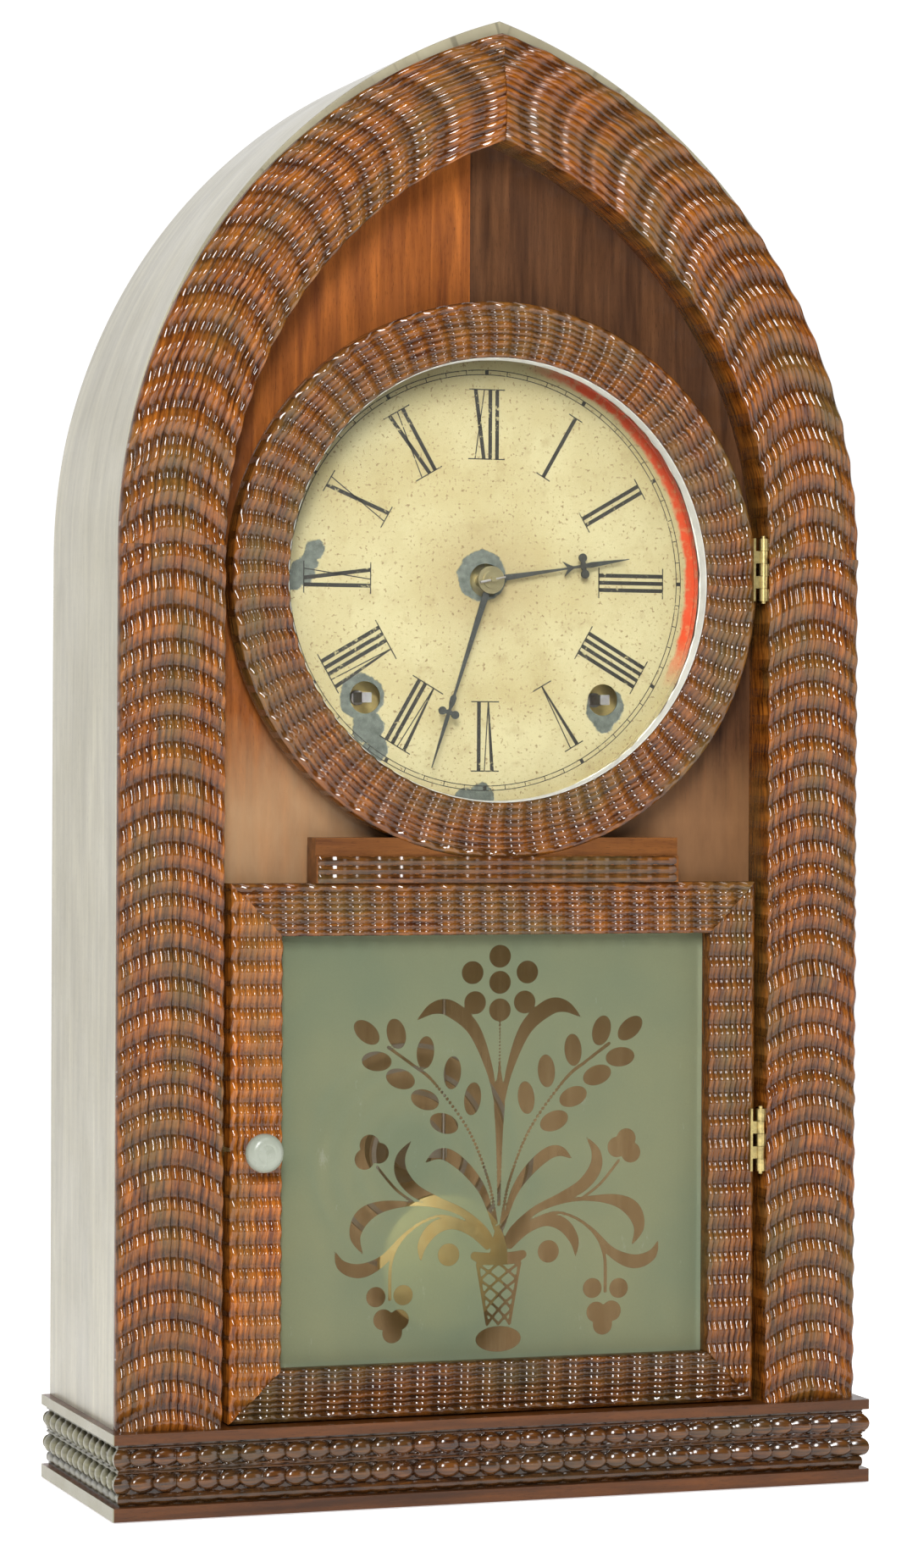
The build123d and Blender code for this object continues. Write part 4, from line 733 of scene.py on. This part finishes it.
# ---------------- carried-over nodes
node_materials = {
    veneer_slab: ("base_bottom_slab", "base_top_slab"),
    veneer_left: ("left_panel",),
    veneer_right_painted_shade: ("right_panel",),
    neck_wood: ("door_neck",),
    pine: ("back_board", "base_back_rail", "movement_rails"),
    putty: ("bezel_putty", "tablet_bead"),
    porcelain: ("door_knob",),
    brass: ("case_hinge_leaves", "door_hinge_leaves", "door_latch"),
    # The wheels and arbor in the centre hole carry painted shade.
    dull_brass_and_painted_shade: ("hand_collet", "hour_wheel", "minute_wheel", "centre_arbor"),
    bob_brass: ("pendulum_bob",),
    wheel_brass: (
        "movement_front_plate", "movement_back_plate", "movement_pillars", "time_great_wheel",
        "strike_great_wheel", "time_second_wheel", "time_third_wheel", "escape_wheel",
        "strike_second_wheel", "strike_third_wheel", "fly", "count_wheel",
    ),
    steel: (
        "movement_screws", "mainsprings", "time_winding_arbor", "strike_winding_arbor", "verge",
        "pendulum_rod", "hammer", "gong", "taper_pin",
    ),
    iron: ("gong_post",),
    blued: ("hour_hand", "minute_hand"),
}


def dress(node, material):
    """Give a CAD node a material, and return the node's object."""
    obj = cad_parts[node]
    obj.data.materials.clear()
    obj.data.materials.append(material)
    return obj


for material, names in node_materials.items():
    for node_name in names:
        dress(node_name, material)


def glass_material():
    """Clear glass with faint smudges."""
    n = Nodes("clear glass")
    smudge = n.noise(n.coords(), 25.0, 4.0, 0.6)
    n.set(Base_Color=(0.97, 0.985, 0.975, 1), Roughness=n.ramp(smudge, [(0.4, 0.01), (0.75, 0.06)]))
    n.set(Transmission_Weight=1.0, IOR=1.45)
    return n.material


dress("bezel_glass", glass_material()).visible_shadow = False


# ---------------- dial paint
# flaked spots, each at mm right of and above the dial's middle, with a radius
flaked_spots = (
    (-1.4, 1.4, 8.6),
    (-59.5, 8.5, 3.6), (-63.5, 1.5, 4.2), (-67.0, -1.0, 3.5), (-61.3, 5.0, 3.4),
    (-43.0, -39.0, 7.6), (-41.0, -49.0, 5.6), (-38.0, -56.0, 4.6),
    (-1.0, -71.0, 4.0), (-7.0, -72.5, 3.6),
    (42.5, -41.5, 6.6), (42.2, -46.5, 3.6),
)
red_middle = (66.0, 31.0)
red_reach = 58.0
paint_edge = 71.0
red_edge = 71.6


def dial_material():
    """Old cream paint: brown specks, a stain round the hands, flaked spots down to grey zinc."""
    n = Nodes("dial paint")
    place = n.coords(spot=(0.3, 0.1, 0.7))
    soft = n.noise(place, 35.0, 4.0, 0.55)
    fine = n.noise(place, 420.0, 5.0, 0.65)
    specks = n.noise(place, 900.0, 2.0, 0.5)
    rough_edge = n.math("MULTIPLY_ADD", n.noise(place, 160.0, 5.0, 0.7), 9.0, -4.5)
    colour = n.mix(n.ramp(soft, [(0.35, 0.0), (0.7, 1.0)]), (0.365, 0.322, 0.176), (0.295, 0.243, 0.112))
    radius = n.away(0, dial_z)
    stain = n.math("MULTIPLY", n.below(n.math("ADD", radius, rough_edge), 15.0, 22.0), 0.55)
    colour = n.mix(stain, colour, (0.215, 0.15, 0.062))
    edge = n.math("SUBTRACT", 1.0, n.below(n.math("ADD", radius, rough_edge), paint_edge, 10.0))
    colour = n.mix(n.math("MULTIPLY", edge, 0.45), colour, (0.27, 0.21, 0.085))
    dense = n.ramp(fine, [(0.42, 0.15), (0.58, 1.0)])
    dots = n.math("MULTIPLY", n.ramp(specks, [(0.585, 0.0), (0.65, 0.85)]), dense)
    blots = n.noise(place, 120.0, 4.0, 0.6)
    colour = n.mix(n.ramp(blots, [(0.56, 0.0), (0.72, 0.5)]), colour, (0.22, 0.165, 0.07))
    colour = n.mix(dots, colour, (0.14, 0.085, 0.03))
    # worn red band at the right edge
    red_side = n.below(n.away(red_middle[0], dial_z + red_middle[1]), red_reach, 16.0)
    inside = n.below(n.math("MULTIPLY_ADD", rough_edge, 0.35, radius), red_edge, 1.2)
    red_in = n.math("SUBTRACT", 1.0, inside)
    red = n.math("MULTIPLY", n.math("MULTIPLY", red_side, red_in), n.ramp(fine, [(0.35, 0.55), (0.5, 1.0)]))
    colour = n.mix(red, colour, (0.46, 0.048, 0.007))
    # flaked spots
    bare = None
    for x, z, size in flaked_spots:
        spot = n.below(n.math("MULTIPLY_ADD", rough_edge, 0.5, n.away(x, dial_z + z)), size, 0.5)
        bare = spot if bare is None else n.math("MAXIMUM", bare, spot)
    zinc = n.mix(n.ramp(fine, [(0.35, 0.0), (0.7, 1.0)]), (0.105, 0.118, 0.098), (0.048, 0.056, 0.044))
    colour = n.mix(bare, colour, zinc)
    dull = n.math("ADD", n.math("MULTIPLY", soft, 0.7), n.math("MULTIPLY", fine, 0.3))
    n.set(Base_Color=colour, Roughness=n.ramp(dull, [(0.35, 0.38), (0.65, 0.62)]))
    n.bump(n.math("SUBTRACT", n.math("MULTIPLY", fine, 0.15), bare), 0.6, 0.0002)
    return n.material


dress("dial", dial_material())


def ink_material():
    """Printed black that has worn through in places."""
    n = Nodes("dial ink")
    place = n.coords(spot=(0.5, 0.2, 0.1))
    wear = n.noise(place, 520.0, 4.0, 0.7)
    patchy = n.noise(place, 90.0, 3.0, 0.5)
    worn = n.ramp(n.math("MULTIPLY_ADD", patchy, 0.35, wear), [(0.77, 0.0), (0.85, 0.9)])
    n.set(Base_Color=n.mix(worn, (0.012, 0.010, 0.006), (0.30, 0.26, 0.13)), Roughness=0.55)
    n.bump(wear, 0.3, 0.0001)
    return n.material


ink = ink_material()
ink_gap = 0.04
dial_rim_height = 1.2
ink_y = low("dial")[1] + dial_rim_height - ink_gap
foot_radius = 40.2
head_radius = 63.2
thick_half = 0.66
thin_half = 0.19
serif_reach = 1.5
track_inner = 68.0
track_outer = 69.5
track_line = 0.28
tick_half = 0.14
hour_tick_half = 0.62


def ink_mesh(name, shapes):
    """Thin printed shapes on the dial. Each is a list of (x, z) corners in mm about the dial's centre."""
    verts, faces = [], []
    for corners in shapes:
        first = len(verts)
        verts += [(x * MM, ink_y * MM, (dial_z + z) * MM) for x, z in corners]
        faces.append(tuple(range(first, first + len(corners))))
    mesh = bpy.data.meshes.new(name)
    mesh.from_pydata(verts, [], faces)
    mesh.materials.append(ink)
    obj = bpy.data.objects.new(name, mesh)
    bpy.context.scene.collection.objects.link(obj)
    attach(obj, "case")


def stroke(a, b, half_a, half_b=None):
    """A straight stroke from a to b, cut square to the numeral's head and foot."""
    half_b = half_a if half_b is None else half_b
    return [(a[0] - half_a, a[1]), (a[0] + half_a, a[1]), (b[0] + half_b, b[1]), (b[0] - half_b, b[1])]


def glyph(letter, u):
    """Strokes of one Roman letter whose left side is at u, and its width."""
    foot, head = foot_radius, head_radius
    if letter == "I":
        return [stroke((u + 1.2, foot), (u + 1.2, head), thick_half)], 2.42
    if letter == "V":
        return [stroke((u + 2.3, foot), (u + 0.9, head), 0.25, thick_half),
                stroke((u + 2.35, foot), (u + 3.6, head), thin_half)], 4.4
    return [stroke((u + 4.0, foot), (u + 1.0, head), thick_half),
            stroke((u + 0.9, foot), (u + 4.1, head), thin_half)], 5.0


def turned(corners, degrees):
    """Corners turned clockwise about the dial's centre. Each is given as at twelve o'clock: across, out."""
    c, s = math.cos(math.radians(degrees)), math.sin(math.radians(degrees))
    return [(out * s + across * c, out * c - across * s) for across, out in corners]


def numeral(text, hour):
    """The strokes and the serif lines of one numeral, with its feet towards the centre."""
    parts, u = [], 0.0
    for letter in text:
        strokes, width = glyph(letter, u)
        parts += strokes
        u += width
    for end in (foot_radius, head_radius):
        parts.append([(-serif_reach, end - thin_half), (u + serif_reach, end - thin_half),
                      (u + serif_reach, end + thin_half), (-serif_reach, end + thin_half)])
    return [turned([(a - u / 2, b) for a, b in corners], 30 * hour) for corners in parts]


hours = ("I", "II", "III", "IIII", "V", "VI", "VII", "VIII", "IX", "X", "XI", "XII")
ink_mesh("dial_numerals", [shape for k, text in enumerate(hours) for shape in numeral(text, k + 1)])


def minute_track():
    """Two thin circles, with a short line between them at each minute."""
    shapes = []
    for minute in range(60):
        for degree in range(6 * minute, 6 * minute + 6):
            for r in (track_inner, track_outer):
                near = turned([(0, r), (0, r + track_line)], degree)
                far = turned([(0, r), (0, r + track_line)], degree + 1)
                shapes.append([near[0], far[0], far[1], near[1]])
        half = hour_tick_half if minute % 5 == 0 else tick_half
        tick = [(-half, track_inner), (half, track_inner), (half, track_outer), (-half, track_outer)]
        shapes.append(turned(tick, 6 * minute))
    return shapes


ink_mesh("dial_minute_track", minute_track())


# ---------------- putty round the glass
lathe_steps = 240


def lathe(name, profile, stands_for=(), uneven=0.0, seed=1):
    """Turn a closed profile of (radius, y) about the axis of the door's ring, in the door's putty."""
    radii, depths = np.array(profile).T[:, None, :]
    angle = np.linspace(0, 2 * np.pi, lathe_steps, endpoint=False)[:, None]
    radius = radii + uneven * wobble(angle * 60, seed, 3.0)
    y = depths + 0.3 * uneven * wobble(angle * 60, seed + 1, 4.0)
    points = np.stack([radius * np.cos(angle), y, ring_z + radius * np.sin(angle)], -1)
    grid_object(name, points, "door", putty, closed=True, stands_for=stands_for, sharp=40)


glass_back = high("bezel_glass")[1]
glass_front = low("bezel_glass")[1]
lathe("bezel_putty_bead", [(74.7, glass_back + 0.1), (72.9, glass_back + 0.1), (72.7, glass_back + 0.5),
                           (73.1, glass_back + 1.6), (74.0, glass_back + 2.9), (74.7, glass_back + 3.1)],
      ("bezel_putty",), uneven=0.25, seed=5)
lathe("bezel_rim_liner", [(72.95, glass_front - 0.05), (72.45, glass_front - 0.05),
                          (72.55, glass_front - 2.2), (72.8, glass_front - 3.9), (72.98, glass_front - 4.0)])


# ---------------- frosted tablet with a clear design
design_x = 2.4
sweep_points = 70
least_half_width = 0.02


def path_through(points, count):
    """A smooth curve through the given points, as count points."""
    p = np.array([points[0]] + list(points) + [points[-1]], float)
    spans = len(p) - 3
    t = np.linspace(0, spans - 1e-6, count)
    i = t.astype(int)
    f = (t - i)[:, None]
    a, b, c, d = p[i], p[i + 1], p[i + 2], p[i + 3]
    return 0.5 * (2 * b + (c - a) * f + (2 * a - 5 * b + 4 * c - d) * f**2 + (3 * b - a - 3 * c + d) * f**3)


def design_distance(x, z):
    """Distance in mm to the nearest clear shape, negative inside it. The design is mirrored at design_x, and
    its shapes are given in mm right of design_x and above the clock's foot."""
    x = np.abs(x - design_x)
    out = np.full(x.shape, np.inf)

    def disc(cx, cz, r):
        np.minimum(out, np.hypot(x - cx, z - cz) - r, out=out)

    def oval(cx, cz, a, b, degrees):
        c, s = math.cos(math.radians(degrees)), math.sin(math.radians(degrees))
        u, v = (x - cx) * c + (z - cz) * s, -(x - cx) * s + (z - cz) * c
        np.minimum(out, (np.sqrt((u / a) ** 2 + (v / b) ** 2) - 1) * min(a, b), out=out)

    def sweep(points, widths):
        """A stroke through points with a half width given at each of them."""
        path = path_through([(px, pz, w) for (px, pz), w in zip(points, widths)], sweep_points)
        for px, pz, w in path:
            np.minimum(out, np.hypot(x - px, z - pz) - max(w, least_half_width), out=out)

    for cx, cz in ((0, 177.8), (9.6, 172.5), (0, 169.2), (8.7, 162.6), (0, 160.1)):
        disc(cx, cz, 3.75)
    sweep([(0, 158), (0, 141), (0, 131), (0, 118), (0, 96)], [0.4, 0.5, 1.9, 1.2, 0.6])
    # arching leaves beside the stem
    sweep([(28.8, 157.2), (23, 161), (17, 160.6), (9, 153.6), (3.4, 140), (1.2, 128)],
          [0.1, 1.9, 2.7, 2.2, 1.2, 0.3])
    # sprays of oval leaves
    sweep([(38.7, 148.4), (30.5, 142.6), (22.9, 136.6), (10.7, 120.5), (3.6, 103.5), (0.9, 90)], [0.55] * 6)
    for cx, cz, a, b, turn in (
        (46.2, 153.4, 5.1, 3.1, 40), (42.7, 143.9, 5.1, 3.2, 5), (34.5, 138.0, 5.1, 3.2, 18),
        (26.0, 131.0, 5.0, 3.2, 20), (19.3, 123.1, 5.1, 3.2, 20), (36.0, 152.8, 5.0, 3.2, 75),
        (25.9, 146.5, 5.3, 3.0, 95), (16.5, 139.7, 5.4, 3.0, 95), (9.4, 131.0, 5.4, 2.9, 97),
    ):
        oval(cx, cz, a, b, turn)
    # inner pair and upright pair of curved leaves
    sweep([(25.7, 110.4), (21.5, 113.0), (17.0, 112.2), (10.6, 107), (5.2, 99.5), (1.4, 88)],
          [0.1, 1.6, 2.1, 1.9, 1.3, 0.5])
    sweep([(30.7, 117.6), (34.2, 112.5), (34.0, 107), (29.5, 101.5), (22, 97.6), (12.5, 93.5), (5, 87),
           (1.5, 81)],
          [0.1, 1.5, 2.2, 2.1, 1.7, 1.3, 1.5, 0.8])
    # clover heads on outer stems
    for cx, cz in ((45.0, 116.6), (41.8, 113.9), (46.7, 112.0)):
        disc(cx, cz, 3.4)
    sweep([(42.4, 109.4), (36, 102), (30, 97.6)], [0.45, 0.45, 0.4])
    # broad outer leaves, low leaves with a rising tip, and small leaves round the dots
    sweep([(47.2, 81.0), (49.8, 87), (47.4, 93), (41, 96.3), (31, 97), (21.5, 96), (12, 92.8), (4, 85)],
          [0.1, 1.8, 2.7, 1.9, 0.8, 0.7, 0.9, 0.9])
    sweep([(56.8, 82.4), (54.2, 77.4), (47.8, 75.6), (40, 79), (33, 86.6), (26, 91.2), (18.6, 92.6),
           (8, 88.8)],
          [0.1, 1.7, 2.3, 1.6, 0.7, 0.5, 0.5, 0.6])
    sweep([(27.2, 78.0), (26.6, 83.5), (22.6, 88.6), (16.5, 90.2), (9.8, 87.6), (4, 82)],
          [0.1, 1.6, 2.2, 1.9, 1.6, 0.9])
    disc(17.5, 79.9, 3.7)
    # hanging berries
    sweep([(35.4, 83.6), (37.6, 77), (37.8, 66)], [0.5, 0.55, 0.55])
    berries = ((33.2, 67.2, 3.3), (42.6, 66.9, 3.3), (34.6, 59.2, 3.4), (40.0, 59.4, 3.4), (36.9, 55.0, 3.4))
    for berry in berries:
        disc(*berry)
    # basket: rim, woven body and foot
    sweep([(0, 88), (0, 80)], [1.2, 3.0])
    sweep([(0, 78.0), (5, 78.2), (8.4, 79.2)], [1.9, 2.0, 1.4])
    rim_half, waist_half, rim_z, foot_z = 7.4, 3.9, 76.5, 56.5

    def side_at(z_value):
        return waist_half + (rim_half - waist_half) * (z_value - foot_z) / (rim_z - foot_z)

    sweep([(rim_half, rim_z), (side_at(66), 66), (waist_half, foot_z)], [0.55, 0.5, 0.5])
    levels = (76.5, 71.2, 66.2, 61.2, 56.5)
    for a, b in zip(levels, levels[1:]):
        sweep([(0, a), (side_at((a + b) / 2) / 2, (a + b) / 2), (side_at(b), b)], [0.42] * 3)
        sweep([(side_at(a), a), (side_at((a + b) / 2) / 2, (a + b) / 2), (0, b)], [0.42] * 3)
    oval(0, 51.6, 7.9, 4.2, 0)
    return out


def tablet_material():
    """Glass frosted with fine grit, except where the design was left clear. The clear design is tinted dark
    brown, a painted shade of the dim inside of the case.
    """
    n = Nodes("frosted glass with clear design")
    place = n.coords(spot=(0.2, 0.4, 0.6))
    grit = n.noise(place, 1500.0, 3.0, 0.7)
    cloud = n.noise(place, 18.0, 4.0, 0.55)
    scuffs = n.noise(n.coords("Object", (60, 1, 22)), 3.0, 5.0, 0.75)
    clear = n.below(n.field("design"), 0.0, 0.14)
    frost = n.mix(n.ramp(cloud, [(0.35, 0.0), (0.7, 1.0)]), (0.21, 0.255, 0.165), (0.27, 0.295, 0.175))
    scuffed = n.math("MULTIPLY", n.ramp(scuffs, [(0.64, 0.0), (0.72, 1.0)]), 0.5)
    frost = n.mix(scuffed, frost, (0.42, 0.45, 0.37))
    frost = n.mix(n.math("MULTIPLY", grit, 0.3), frost, (0.13, 0.15, 0.09))
    # Dark brown in the clear design: painted shade of the case's dim inside, seen through the glass.
    n.set(Base_Color=n.mix(clear, frost, (0.09, 0.058, 0.022)))
    n.set(Roughness=n.math("MULTIPLY_ADD", clear, -0.37, 0.42))
    n.set(Alpha=n.math("MULTIPLY_ADD", clear, -0.70, 1.0))
    n.set(Transmission_Weight=n.math("MULTIPLY_ADD", clear, -0.42, 0.42))
    n.set(IOR=1.08, Specular_IOR_Level=0.35)
    n.bump(n.math("ADD", n.math("MULTIPLY", grit, 0.4), clear), 0.35, 0.00008)
    return n.material


design_step = 0.55
clear_pad = -9.0


def tablet():
    """The lower glass, with a front fine enough to carry the design's distance at each point."""
    left, front, bottom = low("tablet_glass")
    right_edge, back, top = high("tablet_glass")
    xs = np.linspace(left, right_edge, int((right_edge - left) / design_step))[None, :]
    zs = np.linspace(bottom, top, int((top - bottom) / design_step))[:, None]
    x, z = xs + 0 * zs, zs + 0 * xs
    face = np.stack([x, front + 0 * x, z], -1)
    points = np.concatenate([moved_back(face[:, :1], back), face, moved_back(face[:, -1:], back)], 1)
    sheet = grid_object("frosted_tablet", points, "door", tablet_material(), caps=True,
                        fields={"design": padded(design_distance(x, z), clear_pad)},
                        stands_for=("tablet_glass",), sharp=30)
    sheet.visible_shadow = False


tablet()


# ---------------- floor, light and camera
def floor_plane(half, z):
    """A plain pale floor that glows a little, so that it runs into the background."""
    mesh = bpy.data.meshes.new("floor")
    corners = [(-half, -half, z), (half, -half, z), (half, half, z), (-half, half, z)]
    mesh.from_pydata(corners, [], [(0, 1, 2, 3)])
    obj = bpy.data.objects.new("floor", mesh)
    bpy.context.scene.collection.objects.link(obj)
    n = Nodes("floor")
    n.set(Base_Color=(0.93, 0.93, 0.93, 1), Roughness=0.9)
    n.set(Emission_Color=(1, 1, 1, 1), Emission_Strength=0.6)
    mesh.materials.append(n.material)


floor_half = 3.0
floor_z = -0.0005
floor_plane(floor_half, floor_z)


def area_light(name, place, target, size, power):
    """A soft box at a place, turned to face a target."""
    data = bpy.data.lights.new(name, "AREA")
    data.energy = power
    data.shape = "RECTANGLE"
    data.size, data.size_y = size
    obj = bpy.data.objects.new(name, data)
    obj.location = place
    obj.rotation_euler = (Vector(target) - Vector(place)).to_track_quat("-Z", "Y").to_euler()
    bpy.context.scene.collection.objects.link(obj)


middle = (0, 0, 0.24)
area_light("key", (-0.62, -1.75, 1.15), middle, (0.42, 1.0), 41)
area_light("overhead", (0.3, -1.0, 2.1), middle, (0.9, 0.6), 7)
area_light("fill", (1.9, -1.1, 0.5), middle, (1.0, 1.0), 5)
area_light("left", (-1.9, -0.1, 0.7), middle, (1.8, 1.8), 7)


def studio(dim, bright):
    """Soft surroundings: bright behind the object, dimmer in front of it."""
    world = bpy.data.worlds.new("studio")
    world.use_nodes = True
    tree = world.node_tree
    direction = tree.nodes.new("ShaderNodeTexCoord")
    parts = tree.nodes.new("ShaderNodeSeparateXYZ")
    tree.links.new(direction.outputs["Generated"], parts.inputs[0])
    ramp = tree.nodes.new("ShaderNodeValToRGB")
    tree.links.new(parts.outputs["Y"], ramp.inputs[0])
    ramp.color_ramp.elements[0].position = 0.05
    ramp.color_ramp.elements[0].color = (dim, dim, dim, 1)
    ramp.color_ramp.elements[1].position = 0.45
    ramp.color_ramp.elements[1].color = (bright, bright, bright, 1)
    tree.links.new(ramp.outputs[0], tree.nodes["Background"].inputs[0])
    bpy.context.scene.world = world


studio(0.07, 1.05)
bpy.context.scene.view_settings.view_transform = "Standard"

# the photo's own view
azimuth = math.radians(19.469)
pitch = math.radians(0.2055)
roll = math.radians(0.299)
distance = 1.4541
aim = Vector((0.0002, 0, 0.2344))
forward = Vector((math.sin(azimuth) * math.cos(pitch), math.cos(azimuth) * math.cos(pitch), -math.sin(pitch)))
level = Vector((math.cos(azimuth), -math.sin(azimuth), 0))
upright = level.cross(forward)
right = level * math.cos(roll) + upright * math.sin(roll)
up = upright * math.cos(roll) - level * math.sin(roll)
camera_data = bpy.data.cameras.new("camera")
camera_data.sensor_width = 36
camera_data.lens = 99.0
camera = bpy.data.objects.new("camera", camera_data)
basis = Matrix((right, up, -forward)).transposed().to_4x4()
camera.matrix_world = Matrix.Translation(aim - forward * distance) @ basis
bpy.context.scene.collection.objects.link(camera)
bpy.context.scene.camera = camera
